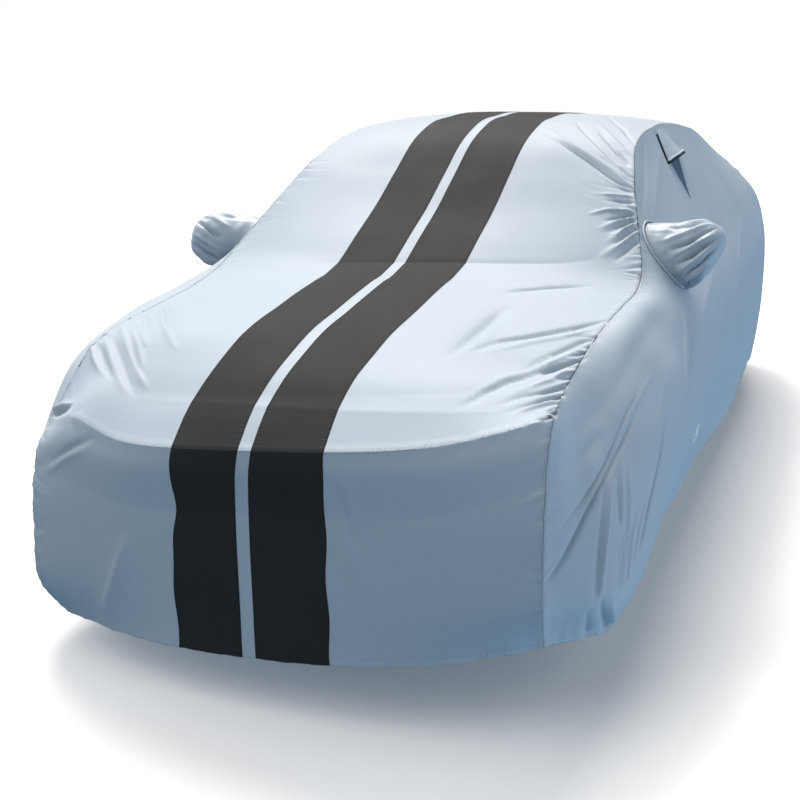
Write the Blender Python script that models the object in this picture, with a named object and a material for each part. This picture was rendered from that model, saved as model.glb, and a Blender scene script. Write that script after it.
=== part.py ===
"""A fitted car cover with twin stripes, mirror pockets, air vents and eyelets, as it hangs on a saloon.

Metres, +Z up. The front faces -Y and the car's own left side is +X. The tables measure y from the front
axle and z from the ground; ORIGIN then moves everything, so that the part's own origin is the point
under the cloth where the car's roof holds it up.

The cover's outer face is one smooth surface, cut into panels along its seams. Each panel is a closed
thin shell: a grid on that surface, and the same grid moved inwards by the thickness of the cloth.
"""

import math

import bpy
import numpy as np
from mathutils import Vector
from mathutils.bvhtree import BVHTree

# ------------------------------------------------------------------ driving dimensions

CLOTH = 0.0015  # panel cloth, outer face to lining face
TRIM = 0.0010  # stripes, hoods, patches and pockets
SEW_GAP = 0.0003  # between two pieces that are sewn together
SEAM_SHARE = 0.6  # each panel gives up this much of the gap, a little over half for slanted edges

STRIPE_INNER = 0.019  # half of the pale gap between the stripes
STRIPE_OUTER = 0.220  # outer edge of a stripe from the middle

ROOF_TOP = 1.485  # height of the roof's middle above the ground
ROOF_MIDDLE = 1.95  # its distance behind the front axle
ORIGIN = np.array([0.0, ROOF_MIDDLE, ROOF_TOP - CLOTH])

NOSE_LEAN = 0.075  # the front sits askew: rise per metre towards +X
ROOF_LEAN = 0.030  # and the roof the other way

# ------------------------------------------------------------------ the surface, in tables

# Guide lines of a side, from the roof seam down to the hem. Columns: station, x, y, z.
# A station is the seam's own distance behind the front axle.
SEAM = (
    (-0.415, 0.741, -0.415, 0.760),
    (-0.260, 0.733, -0.260, 0.836),
    (-0.140, 0.735, -0.140, 0.875),
    (0.100, 0.738, 0.100, 0.912),
    (0.340, 0.746, 0.340, 0.940),
    (0.514, 0.752, 0.514, 0.968),
    (0.620, 0.745, 0.620, 1.012),
    (0.730, 0.717, 0.730, 1.090),
    (0.880, 0.672, 0.880, 1.202),
    (1.040, 0.632, 1.040, 1.306),
    (1.180, 0.606, 1.180, 1.370),
    (1.330, 0.598, 1.330, 1.408),
    (1.550, 0.596, 1.550, 1.434),
    (1.950, 0.604, 1.950, 1.444),
    (2.360, 0.630, 2.360, 1.414),
    (2.700, 0.655, 2.700, 1.350),
    (3.050, 0.690, 3.050, 1.265),
    (3.330, 0.720, 3.330, 1.200),
    (3.550, 0.732, 3.550, 1.160),
    (3.740, 0.708, 3.740, 1.100),
)
SHOULDER = (
    (-0.415, 0.748, -0.490, 0.680),
    (-0.260, 0.815, -0.335, 0.725),
    (-0.140, 0.838, -0.170, 0.800),
    (0.100, 0.815, 0.100, 0.900),
    (0.340, 0.812, 0.340, 0.932),
    (0.620, 0.812, 0.620, 0.965),
    (0.880, 0.812, 0.880, 1.015),
    (1.330, 0.815, 1.330, 1.050),
    (1.950, 0.825, 1.950, 1.060),
    (2.500, 0.840, 2.500, 1.065),
    (3.050, 0.842, 3.050, 1.090),
    (3.330, 0.836, 3.330, 1.080),
    (3.550, 0.805, 3.580, 1.035),
    (3.740, 0.735, 3.830, 0.980),
)
FLANK = (
    (-0.415, 0.753, -0.530, 0.580),
    (-0.260, 0.860, -0.350, 0.600),
    (-0.140, 0.900, -0.180, 0.670),
    (0.100, 0.912, 0.100, 0.770),
    (0.620, 0.912, 0.620, 0.820),
    (1.330, 0.912, 1.330, 0.860),
    (2.500, 0.918, 2.500, 0.880),
    (3.050, 0.915, 3.050, 0.900),
    (3.330, 0.897, 3.360, 0.890),
    (3.550, 0.835, 3.640, 0.840),
    (3.740, 0.745, 3.880, 0.820),
)
WAIST = (
    (-0.415, 0.755, -0.545, 0.450),
    (-0.260, 0.882, -0.360, 0.450),
    (-0.140, 0.915, -0.180, 0.470),
    (0.100, 0.930, 0.100, 0.520),
    (1.330, 0.930, 1.330, 0.570),
    (2.500, 0.932, 2.500, 0.600),
    (3.050, 0.930, 3.050, 0.620),
    (3.330, 0.908, 3.380, 0.620),
    (3.550, 0.838, 3.680, 0.620),
    (3.740, 0.745, 3.930, 0.620),
)
SKIRT = (
    (-0.415, 0.752, -0.535, 0.300),
    (-0.260, 0.882, -0.355, 0.290),
    (-0.140, 0.902, -0.170, 0.290),
    (0.100, 0.905, 0.100, 0.340),
    (1.330, 0.905, 1.330, 0.380),
    (2.500, 0.915, 2.500, 0.380),
    (3.050, 0.920, 3.050, 0.400),
    (3.330, 0.898, 3.370, 0.400),
    (3.550, 0.828, 3.660, 0.380),
    (3.740, 0.735, 3.900, 0.380),
)
HEM = (
    (-0.415, 0.737, -0.460, 0.176),
    (-0.260, 0.825, -0.275, 0.178),
    (-0.140, 0.845, -0.150, 0.172),
    (0.000, 0.855, 0.000, 0.198),
    (0.120, 0.864, 0.120, 0.222),
    (0.500, 0.866, 0.500, 0.248),
    (1.200, 0.866, 1.200, 0.228),
    (2.100, 0.885, 2.100, 0.180),
    (2.500, 0.893, 2.500, 0.205),
    (2.900, 0.893, 2.900, 0.215),
    (3.200, 0.885, 3.200, 0.190),
    (3.420, 0.855, 3.420, 0.175),
    (3.580, 0.800, 3.660, 0.175),
    (3.740, 0.715, 3.840, 0.180),
)
GUIDES = (SEAM, SHOULDER, FLANK, WAIST, SKIRT, HEM)

# The top's middle line. Columns: station, y, z, and how late the cloth leaves the middle line's y and z
# on its way out to the seam, as powers.
MIDDLE = (
    (-0.415, -0.586, 0.700, 3.0, 5.0),
    (-0.330, -0.500, 0.778, 3.0, 4.5),
    (-0.260, -0.413, 0.830, 3.0, 3.2),
    (-0.140, -0.250, 0.892, 2.6, 2.6),
    (0.100, 0.020, 0.954, 2.4, 2.4),
    (0.340, 0.235, 0.991, 2.2, 2.4),
    (0.514, 0.335, 1.006, 2.2, 2.6),
    (0.620, 0.430, 1.040, 2.2, 2.8),
    (0.730, 0.560, 1.095, 2.2, 2.6),
    (0.880, 0.720, 1.165, 2.2, 2.6),
    (1.040, 0.900, 1.275, 2.2, 2.6),
    (1.180, 1.080, 1.386, 2.2, 2.6),
    (1.330, 1.270, 1.448, 2.2, 2.6),
    (1.550, 1.520, 1.478, 2.0, 2.6),
    (1.950, ROOF_MIDDLE, ROOF_TOP, 2.0, 2.6),
    (2.360, 2.360, 1.455, 2.0, 2.6),
    (2.700, 2.720, 1.385, 2.0, 2.6),
    (3.050, 3.080, 1.275, 2.0, 2.6),
    (3.330, 3.400, 1.190, 2.0, 2.6),
    (3.550, 3.660, 1.155, 2.0, 2.6),
    (3.740, 3.870, 1.115, 2.6, 2.6),
)

# The middle lines of the two ends, from the cross seam down. Columns: guide line number, y, z.
FRONT = (
    (0, -0.586, 0.700),
    (1, -0.606, 0.640),
    (2, -0.614, 0.540),
    (3, -0.618, 0.420),
    (4, -0.620, 0.280),
    (5, -0.624, 0.150),
)
REAR = (
    (0, 3.870, 1.115),
    (1, 3.935, 1.020),
    (2, 3.965, 0.860),
    (3, 3.975, 0.640),
    (4, 3.955, 0.400),
    (5, 3.910, 0.185),
)
END_DROP_POWER = 2.2  # below the cross seam the ends curve round evenly

# Where the cloth has slipped or bags. Columns: x, y, z, reach, then its move in x, y and z.
UNEVEN = (
    (-0.75, -0.42, 0.72, 0.11, -0.022, 0.004, -0.055),
    (-0.58, -0.47, 0.71, 0.14, 0.000, 0.000, 0.040),
    (-0.76, -0.48, 0.15, 0.15, -0.020, -0.010, -0.022),
    (-0.82, -0.44, 0.45, 0.20, 0.013, 0.004, 0.000),
)

# The main folds. Columns: start x, y, z, end x, y, z, width, height; a trough has a negative height.
FOLDS = (
    (0.72, 0.16, 0.92, 0.48, -0.20, 0.89, 0.045, 0.010),  # bonnet, from the gathers to the nose
    (0.72, -0.16, 0.87, 0.52, -0.42, 0.82, 0.040, 0.010),
    (0.46, 0.14, 0.96, 0.38, -0.41, 0.84, 0.060, -0.012),
    (0.66, 0.44, 0.97, 0.40, 0.24, 0.98, 0.045, -0.009),  # below the windscreen
    (-0.74, -0.20, 0.83, -0.48, -0.42, 0.77, 0.040, -0.011),  # bonnet, +X mirrored side
    (-0.72, -0.05, 0.89, -0.43, -0.41, 0.79, 0.040, 0.009),
    (-0.75, 0.16, 0.92, -0.41, -0.27, 0.87, 0.040, -0.009),
    (0.31, 1.16, 1.40, 0.64, 0.93, 1.22, 0.040, -0.014),  # roof corner down the windscreen
    (0.38, 1.34, 1.43, 0.62, 1.08, 1.32, 0.040, 0.009),
    (0.56, 0.74, 1.10, 0.69, 0.80, 1.13, 0.040, 0.009),
    (0.25, -0.60, 0.64, 0.37, -0.61, 0.31, 0.040, 0.008),  # front
    (-0.36, -0.61, 0.42, -0.50, -0.58, 0.13, 0.045, 0.009),
    (-0.50, -0.52, 0.66, -0.74, -0.50, 0.55, 0.040, -0.009),
    (0.89, -0.10, 0.80, 0.79, -0.50, 0.57, 0.045, -0.014),  # flank, from the wing to the front corner
    (0.88, -0.18, 0.74, 0.77, -0.53, 0.44, 0.045, 0.015),
    (0.88, -0.26, 0.68, 0.86, -0.38, 0.32, 0.045, -0.014),
    (0.91, -0.12, 0.68, 0.88, -0.28, 0.30, 0.045, 0.013),
    (0.92, 0.02, 0.66, 0.90, -0.12, 0.34, 0.050, -0.012),
    (0.89, 0.30, 0.85, 0.92, 0.08, 0.52, 0.060, 0.009),
    (0.88, 0.64, 0.87, 0.92, 0.34, 0.46, 0.060, -0.010),  # doors
    (0.90, 0.90, 0.86, 0.92, 0.76, 0.42, 0.060, 0.010),
    (0.90, 1.42, 0.88, 0.92, 1.30, 0.40, 0.070, -0.011),
    (0.90, 1.95, 0.88, 0.92, 1.98, 0.36, 0.070, 0.011),
    (0.91, 2.55, 0.92, 0.92, 2.50, 0.40, 0.070, -0.011),
    (0.90, 3.06, 0.95, 0.92, 3.00, 0.40, 0.060, 0.010),
    (0.63, 1.20, 1.33, 0.73, 0.94, 1.12, 0.035, 0.009),  # side window, behind the pillar
    (-0.90, 0.10, 0.80, -0.86, -0.30, 0.36, 0.050, 0.012),  # the other flank
    (-0.92, 0.10, 0.60, -0.88, -0.16, 0.30, 0.045, -0.012),
    (-0.90, 0.70, 0.86, -0.92, 0.52, 0.42, 0.060, -0.010),
    (-0.90, 1.30, 0.88, -0.92, 1.18, 0.40, 0.070, 0.010),
    (-0.90, 2.10, 0.88, -0.92, 2.06, 0.38, 0.070, -0.010),
    (-0.91, 2.75, 0.90, -0.92, 2.70, 0.40, 0.060, 0.010),
    (-0.66, 3.60, 1.10, -0.40, 3.95, 0.70, 0.050, -0.009),  # rear
    (0.60, 3.62, 1.12, 0.30, 3.97, 0.60, 0.050, 0.010),
    (0.10, 3.90, 1.05, 0.16, 3.96, 0.40, 0.050, -0.008),
)

# ------------------------------------------------------------------ how finely the panels are cut

STATIONS = (
    -0.415, -0.370, -0.320, -0.260, -0.200, -0.140, -0.060, 0.020, 0.100, 0.180, 0.260, 0.340,
    0.430, 0.514, 0.590, 0.670, 0.760, 0.860, 0.960, 1.060, 1.180, 1.300, 1.420, 1.560,
    1.700, 1.850, 2.000, 2.150, 2.300, 2.450, 2.600, 2.760, 2.920, 3.080, 3.220, 3.350,
    3.460, 3.560, 3.650, 3.740,
)
DROPS = (0.0, 0.4, 0.8, 1.2, 1.6, 2.0, 2.5, 3.0, 3.5, 4.0, 4.5, 5.0)
OUTER_COLUMNS = 5  # grid columns between a stripe and the seam
VENT_REGION = (1.05, 2.20, 0.0, 1.6)  # the part of a side that a vent covers: stations, then drops
EYELET_REGION = (0.51, 0.77, 3.0, 4.0)

# ------------------------------------------------------------------ mirror pockets, vents, eyelets

POCKET_SLOT = 0.012  # how far the pocket's straight neck reaches out of the panel
POCKET_TUCK = 0.006  # and in behind it
POCKET_SIDES = 24
# Sections of the pockets from the neck to the tip. Columns: x, middle y, middle z, half depth, half height.
POCKET_NECK = (0.000, 0.840, 1.020, 0.098, 0.100)
POCKET_LEFT = (
    (0.870, 0.815, 1.030, 0.100, 0.100),
    (0.915, 0.800, 1.045, 0.092, 0.086),
    (0.948, 0.798, 1.062, 0.070, 0.060),
    (0.968, 0.800, 1.074, 0.038, 0.032),
)
POCKET_RIGHT = (  # fuller, and pushed further out
    (0.885, 0.815, 1.030, 0.104, 0.104),
    (0.950, 0.800, 1.045, 0.102, 0.096),
    (0.992, 0.795, 1.050, 0.084, 0.076),
    (1.015, 0.795, 1.054, 0.045, 0.040),
)
POCKET_POINT = 0.007  # how far the tip lies beyond the last section
POCKET_RAKE = 0.25  # its neck leans back with the windscreen pillar
POCKET_RIDGES = 5
POCKET_RIDGE = 0.07  # height of a ridge as a share of the section

# Corners of a vent's hood on the side window, as y and z before the roof leans: its top edge lies just
# under the roof seam.
VENT_TOP = ((1.575, 1.427), (1.745, 1.434))
VENT_MOUTH = ((1.490, 1.302), (1.765, 1.325))
VENT_PEAK = 0.040  # how far the mouth stands open
VENT_TUCK = 0.004  # the hood's edges run this far under the panel's face before they are trimmed
VENT_BINDING = 0.86  # the binding covers the hood from this share of its drop
PATCH_TOP = ((1.545, 1.319), (1.745, 1.331))
PATCH_TIP = (1.550, 1.162)
VENT_X = 0.64  # about how far the vents lie from the middle, for the lean of the roof

EYELET_PLACE = (0.645, 0.475)  # y and z near which the ring sits, in the middle of a flat of the panel
EYELET_HOLE = 0.010
EYELET_BARREL = 0.001
EYELET_FLANGE = 0.018
EYELET_BACK = 0.016
EYELET_PLATE = 0.0012
EYELET_SIDES = 20
STRIP_HALF = (0.042, 0.032)  # the sewn strip round the ring: half its length and height
STRIP_CORNER = 0.012

# ------------------------------------------------------------------ curves through the tables


def along(rows, at):
    """A smooth curve through the rows: the first column is where, the rest is what."""
    table = np.array(rows, float)
    where, value = table[:, 0], table[:, 1:]
    at = np.clip(np.asarray(at, float), where[0], where[-1])
    step = np.diff(where)
    slope = np.diff(value, axis=0) / step[:, None]
    before, after = step[:-1, None], step[1:, None]
    middle = (slope[:-1] * after + slope[1:] * before) / (before + after)
    slopes = np.concatenate([slope[:1], middle, slope[-1:]])
    i = np.clip(np.searchsorted(where, at, side="right") - 1, 0, len(step) - 1)
    share = ((at - where[i]) / step[i])[..., None]
    length = step[i][..., None]
    return hermite(share, value[i], value[i + 1], slopes[i] * length, slopes[i + 1] * length)


def hermite(share, start, end, leave, arrive):
    squared, cubed = share**2, share**3
    return (
        (2 * cubed - 3 * squared + 1) * start
        + (cubed - 2 * squared + share) * leave
        + (3 * squared - 2 * cubed) * end
        + (cubed - squared) * arrive
    )


def smoothstep(share):
    share = np.clip(share, 0.0, 1.0)
    return share * share * (3 - 2 * share)


def section_point(station, drop):
    """A point of the even +X side: drop is 0 at the seam, and 1 more at each guide line below it."""
    guides = np.stack([along(rows, station) for rows in GUIDES], axis=-2)
    edge = np.diff(guides, axis=-2)
    length = np.linalg.norm(edge, axis=-1, keepdims=True)
    heading = edge / length
    before, after = length[..., :-1, :], length[..., 1:, :]
    inner = (heading[..., :-1, :] * after + heading[..., 1:, :] * before) / (before + after)
    headings = np.concatenate([heading[..., :1, :], inner, heading[..., -1:, :]], axis=-2)
    i = np.clip(np.asarray(drop).astype(int), 0, len(GUIDES) - 2)

    def pick(values, index):
        return np.take_along_axis(values, index[..., None, None], axis=-2)[..., 0, :]

    span = pick(length, i)
    return hermite(
        (drop - i)[..., None],
        pick(guides, i),
        pick(guides, i + 1),
        pick(headings, i) * span,
        pick(headings, i + 1) * span,
    )


# ------------------------------------------------------------------ the draped surface


def drape(points):
    """Sets the even surface askew and slips it where the cloth has slipped."""
    x, y = points[..., 0], points[..., 1]
    lean = NOSE_LEAN * smoothstep((-0.20 - y) / 0.30) - ROOF_LEAN * smoothstep((y - 0.20) / 0.60)
    points = points.copy()
    points[..., 2] += x * lean
    draped = points.copy()
    for row in UNEVEN:
        centre, reach, move = np.array(row[:3]), row[3], np.array(row[4:])
        near = np.exp(-np.sum(((points - centre) / reach) ** 2, axis=-1))
        draped += near[..., None] * move
    return draped


def side_surface(side, station, drop):
    return drape(section_point(station, drop) * np.array([side, 1.0, 1.0]))


def top_surface(station, x):
    seam = along(SEAM, station)
    middle = along(MIDDLE, station)
    out = np.abs(x) / seam[..., 0]
    y = middle[..., 0] + (seam[..., 1] - middle[..., 0]) * out ** middle[..., 2]
    z = middle[..., 1] + (seam[..., 2] - middle[..., 1]) * out ** middle[..., 3]
    return drape(np.stack([x, y, z], axis=-1))


def end_surface(rows, station, out, drop):
    """The front or rear face: out runs from -1 to 1 between the corner seams."""
    corner = section_point(np.full_like(drop, station), drop)
    middle = along(rows, drop)
    y_power, z_power = along(MIDDLE, station)[2:]
    z_power = z_power + (END_DROP_POWER - z_power) * np.clip(drop / 2, 0.0, 1.0)
    away = np.abs(out)
    y = middle[..., 0] + (corner[..., 1] - middle[..., 0]) * away**y_power
    z = middle[..., 1] + (corner[..., 2] - middle[..., 1]) * away**z_power
    return drape(np.stack([corner[..., 0] * out, y, z], axis=-1))


def fold_height(points):
    """How far the folds lift each point off the smooth surface."""
    height = np.zeros(points.shape[:-1])
    for row in FOLDS:
        start, end = np.array(row[:3]), np.array(row[3:6])
        width, lift = row[6:]
        run = end - start
        share = np.clip((points - start) @ run / (run @ run), 0.0, 1.0)
        away = np.linalg.norm(points - (start + share[..., None] * run), axis=-1)
        height += lift * (0.5 + 0.5 * np.sin(math.pi * share)) * np.exp(-((away / width) ** 2))
    return height


# ------------------------------------------------------------------ grids of the panels


def columns(half_width):
    """The grid's x values across a panel, from -half_width to half_width, on both stripes' edges."""
    outer = [
        STRIPE_OUTER + (half_width - STRIPE_OUTER) * k / OUTER_COLUMNS
        for k in range(1, OUTER_COLUMNS + 1)
    ]
    right = [0.0, STRIPE_INNER, STRIPE_OUTER] + outer
    return np.array([-x for x in reversed(right[1:])] + right)


def top_grid():
    stations = np.array(STATIONS)
    across = np.stack([columns(width) for width in along(SEAM, stations)[:, 0]])
    return top_surface(np.repeat(stations[:, None], across.shape[1], axis=1), across)


def side_grid(side):
    station, drop = np.meshgrid(STATIONS, DROPS, indexing="ij")
    return side_surface(side, station, drop)


def end_grid(rows, station):
    drops = np.array(DROPS)
    widths = section_point(np.full_like(drops, station), drops)[:, 0]
    out = np.stack([columns(width) / width for width in widths])
    return end_surface(rows, station, out, np.repeat(drops[:, None], out.shape[1], axis=1))


def region(first, last, high, low):
    """The rows and columns of a side's grid between two stations and two drops."""
    stations = [i for i, station in enumerate(STATIONS) if first <= station <= last]
    drops = [i for i, drop in enumerate(DROPS) if high <= drop <= low]
    return slice(stations[0], stations[-1] + 1), slice(drops[0], drops[-1] + 1)


def grid_triangles(rows, cols):
    """Triangles of a grid whose points are numbered row by row."""
    triangles = []
    for i in range(rows - 1):
        for j in range(cols - 1):
            a, b = i * cols + j, i * cols + j + 1
            c, d = a + cols, b + cols
            triangles += [(a, c, d), (a, d, b)]
    return triangles


def shared_normals(grids, flips):
    """Outward normals at each grid point, shared where panels meet, so that their edges are mitred."""
    sums = {}
    for grid, flip in zip(grids, flips):
        points = grid.reshape(-1, 3)
        for a, b, c in grid_triangles(*grid.shape[:2]):
            normal = np.cross(points[b] - points[a], points[c] - points[a]) * flip
            for corner in (a, b, c):
                key = tuple(np.round(points[corner], 5))
                sums[key] = sums.get(key, 0.0) + normal
    shared = []
    for grid in grids:
        rows = [sums[tuple(np.round(point, 5))] for point in grid.reshape(-1, 3)]
        normals = np.array(rows).reshape(grid.shape)
        shared.append(normals / np.linalg.norm(normals, axis=-1, keepdims=True))
    return shared


def drawn_in(grid, by):
    """The grid with its border moved inwards along the cloth, for the gap at the seams."""
    moved = grid.copy()
    for border, inner in ((0, 1), (-1, -2)):
        step = grid[inner] - grid[border]
        moved[border] += by * step / np.linalg.norm(step, axis=-1, keepdims=True)
        step = grid[:, inner] - grid[:, border]
        moved[:, border] += by * step / np.linalg.norm(step, axis=-1, keepdims=True)
    return moved


# ------------------------------------------------------------------ objects


def material(name, colour, roughness, metallic=0.0):
    made = bpy.data.materials.new(name)
    made.use_nodes = True
    shader = made.node_tree.nodes["Principled BSDF"]
    shader.inputs["Base Color"].default_value = (*colour, 1.0)
    shader.inputs["Roughness"].default_value = roughness
    shader.inputs["Metallic"].default_value = metallic
    return made


def add_object(name, points, faces, finish, smooth=True):
    """An object from points in the tables' frame."""
    mesh = bpy.data.meshes.new(name)
    mesh.from_pydata((np.asarray(points) - ORIGIN).tolist(), [], faces)
    mesh.validate()
    if smooth:
        mesh.shade_smooth()
        mesh.set_sharp_from_angle(angle=math.radians(40))
    if finish:
        mesh.materials.append(finish)
    made = bpy.data.objects.new(name, mesh)
    bpy.context.scene.collection.objects.link(made)
    return made


def add_cutter(name, points, faces):
    made = add_object(name, points, faces, None, smooth=False)
    made.hide_render = True
    made.display_type = "WIRE"
    return made


def cut(target, cutter, operation="DIFFERENCE"):
    modifier = target.modifiers.new(cutter.name, "BOOLEAN")
    modifier.operation = operation
    modifier.object = cutter


def shell_mesh(outer, inner, flip):
    """Points and faces of a closed sheet between two grids; flip is 1 where the grid's turn faces out."""
    rows, cols = outer.shape[:2]
    count = rows * cols
    points = np.concatenate([outer.reshape(-1, 3), inner.reshape(-1, 3)])
    front = grid_triangles(rows, cols)
    faces = front + [(count + a, count + c, count + b) for a, b, c in front]
    rim = (
        [j for j in range(cols)]
        + [i * cols + cols - 1 for i in range(1, rows)]
        + [(rows - 1) * cols + j for j in range(cols - 2, -1, -1)]
        + [i * cols for i in range(rows - 2, 0, -1)]
    )
    for a, b in zip(rim, rim[1:] + rim[:1]):
        faces += [(a, b, count + b), (a, count + b, count + a)]
    if flip < 0:
        faces = [(a, c, b) for a, b, c in faces]
    return points, faces


def prism_mesh(outline, depth):
    """A closed prism: the outline's points, moved forth and back by the vector depth."""
    outline = np.array(outline, float)
    count = len(outline)
    points = np.concatenate([outline + depth, outline - depth])
    faces = [tuple(range(count)), tuple(range(2 * count - 1, count - 1, -1))]
    faces += [(i, count + i, count + (i + 1) % count, (i + 1) % count) for i in range(count)]
    return points, faces


def facing_out(points, faces):
    """The faces, turned where needed so that the volume is positive."""
    points = np.asarray(points)
    volume = 0.0
    for face in faces:
        for b, c in zip(face[1:], face[2:]):
            volume += np.dot(points[face[0]], np.cross(points[b], points[c]))
    return faces if volume > 0 else [tuple(reversed(face)) for face in faces]


class Panel:
    """One panel's grid on the folded surface, with its shared normals."""

    def __init__(self, grid, normals, flip):
        self.grid, self.normals, self.flip = grid, normals, flip

    def layer(self, low, high, rows=slice(None), cols=slice(None)):
        """Points and faces of a sheet from low to high above the panel's face."""
        grid, normals = self.grid[rows, cols], self.normals[rows, cols]
        return shell_mesh(grid + high * normals, grid + low * normals, self.flip)

    def tree(self):
        points = self.grid.reshape(-1, 3)
        triangles = grid_triangles(*self.grid.shape[:2])
        return BVHTree.FromPolygons(points.tolist(), triangles), points, triangles


def build_panels():
    front, rear = end_grid(FRONT, STATIONS[0]), end_grid(REAR, STATIONS[-1])
    grids = [top_grid(), front, rear, side_grid(1), side_grid(-1)]
    flips = [-1, 1, -1, -1, 1]
    smooth = shared_normals(grids, flips)
    folded = [grid + fold_height(grid)[..., None] * normals for grid, normals in zip(grids, smooth)]
    normals = shared_normals(folded, flips)
    names = ("top_panel", "front_panel", "rear_panel", "side_panel_left", "side_panel_right")
    return {name: Panel(*parts) for name, *parts in zip(names, folded, normals, flips)}


def add_panel(name, panel, finish):
    by = SEAM_SHARE * SEW_GAP
    outer = drawn_in(panel.grid, by)
    inner = drawn_in(panel.grid - CLOTH * panel.normals, by)
    return add_object(name, *shell_mesh(outer, inner, panel.flip), finish)


def add_stripes(panels, finish):
    """Each stripe follows its panel's own grid columns, one sewing gap above the cloth."""
    middle = panels["top_panel"].grid.shape[1] // 2
    runs = {"left": slice(middle + 1, middle + 3), "right": slice(middle - 2, middle)}
    for place in ("top", "front", "rear"):
        panel = panels[place + "_panel"]
        for hand, cols in runs.items():
            grid = drawn_in(panel.grid[:, cols], SEAM_SHARE * SEW_GAP)
            low = grid + SEW_GAP * panel.normals[:, cols]
            high = grid + (SEW_GAP + TRIM) * panel.normals[:, cols]
            add_object(f"stripe_{place}_{hand}", *shell_mesh(high, low, panel.flip), finish)


# ------------------------------------------------------------------ mirror pockets


def pocket_section(row, side, turn):
    """Points of one section round the pocket, with its share of the ridges and its rake."""
    x, y, z, half_depth, half_height = row
    angle = np.linspace(0.0, 2 * math.pi, POCKET_SIDES, endpoint=False)
    rake = POCKET_RAKE * half_height * np.sin(angle)
    ridge = 1 + POCKET_RIDGE * turn * np.sin(POCKET_RIDGES * angle + side + x * 9)
    ys = y + (half_depth * np.cos(angle) + rake) * ridge
    zs = z + half_height * np.sin(angle) * ridge
    return np.stack([np.full_like(ys, side * x), ys, zs], axis=-1)


def on_face(tree, side, y, z):
    """Where a line along X from outside meets the panel, with the outward normal and the facet's number."""
    point, normal, facet, _ = tree.ray_cast(Vector((side * 2.0, y, z)), Vector((-side, 0.0, 0.0)))
    return np.array(point), np.array(normal) * math.copysign(1.0, normal.x * side), facet


def on_window(tree, side, y, z):
    """The same for a place of the leaning roof."""
    return on_face(tree, side, y, z - side * ROOF_LEAN * VENT_X)


def add_pocket(hand, side, rows, panel, panel_object, finish):
    tree = panel.tree()[0]
    neck = pocket_section(POCKET_NECK, side, 0.0)
    for point in neck:
        point[0] = on_face(tree, side, point[1], point[2])[0][0]
    out = np.array([side, 0.0, 0.0])
    sections = [neck - POCKET_TUCK * out, neck + POCKET_SLOT * out]
    turns = (0.6, 1.0, 0.7, 0.3)
    sections += [pocket_section(row, side, turn) for row, turn in zip(rows, turns)]
    tip = sections[-1].mean(axis=0) + POCKET_POINT * out
    name = f"mirror_pocket_{hand}"
    add_object(name, *bag_mesh(sections, tip, TRIM, out), finish)

    centre = neck.mean(axis=0)
    clear = neck + (neck - centre) * (SEW_GAP / 0.5 / np.linalg.norm(neck - centre, axis=1))[:, None]
    clear[:, 0] = neck[:, 0]
    cutter = [clear - 5 * POCKET_TUCK * out, clear + 0.8 * POCKET_SLOT * out]
    cut(panel_object, add_cutter(f"pocket_hole_{hand}", *drum_mesh(cutter)))


def bag_mesh(sections, tip, thickness, out):
    """A bag with an open neck: the sections and the tip, and the same moved in by the thickness."""
    count = len(sections[0])
    middles = [section.mean(axis=0) for section in sections]
    inner = []
    for k, (section, middle) in enumerate(zip(sections, middles)):
        away = section - middle
        away[:, 0] = 0.0
        radius = np.linalg.norm(away, axis=1, keepdims=True)
        sunk = thickness * out * max(k - 1, 0) / 2
        inner.append(section - away * thickness / radius - sunk)
    points = np.concatenate(sections + [tip[None]] + inner + [(tip - 3 * thickness * out)[None]])
    layers = len(sections)
    base = layers * count + 1
    faces = []
    for k in range(layers - 1):
        for i in range(count):
            a, b = k * count + i, k * count + (i + 1) % count
            c, d = a + count, b + count
            faces += [(a, b, d), (a, d, c)]
            faces += [(base + a, base + d, base + b), (base + a, base + c, base + d)]
    last = (layers - 1) * count
    for i in range(count):
        j = (i + 1) % count
        faces.append((last + i, last + j, layers * count))
        faces.append((base + last + j, base + last + i, base + layers * count))
        faces += [(j, i, base + i), (j, base + i, base + j)]
    return points, facing_out(points, faces)


def drum_mesh(sections):
    """A closed solid through the sections."""
    count = len(sections[0])
    points = np.concatenate(sections)
    faces = [tuple(reversed(range(count))), tuple(range(len(points) - count, len(points)))]
    for k in range(len(sections) - 1):
        for i in range(count):
            a, b = k * count + i, k * count + (i + 1) % count
            faces.append((a, b, b + count, a + count))
    return points, facing_out(points, faces)


# ------------------------------------------------------------------ air vents


def vent_place(across, down):
    """y and z of a place on the hood's outline, as shares across and down it."""
    top = np.array(VENT_TOP[0]) * (1 - across) + np.array(VENT_TOP[1]) * across
    mouth = np.array(VENT_MOUTH[0]) * (1 - across) + np.array(VENT_MOUTH[1]) * across
    return top * (1 - down) + mouth * down


def vent_hood_grid(tree, side):
    """The hood: flat on the panel along three edges, standing open at its mouth."""
    across = np.linspace(0.0, 1.0, 9)
    down = np.array([0.0, 0.2, 0.4, 0.6, 0.75, VENT_BINDING, 1.0])
    grid = np.zeros((len(down), len(across), 3))
    for i, drop in enumerate(down):
        for j, share in enumerate(across):
            point, normal, _ = on_window(tree, side, *vent_place(share, drop))
            bulge = VENT_PEAK * drop**1.2 * math.sin(math.pi * share) ** 0.8
            grid[i, j] = point + normal * (bulge - VENT_TUCK)
    return grid


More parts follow.
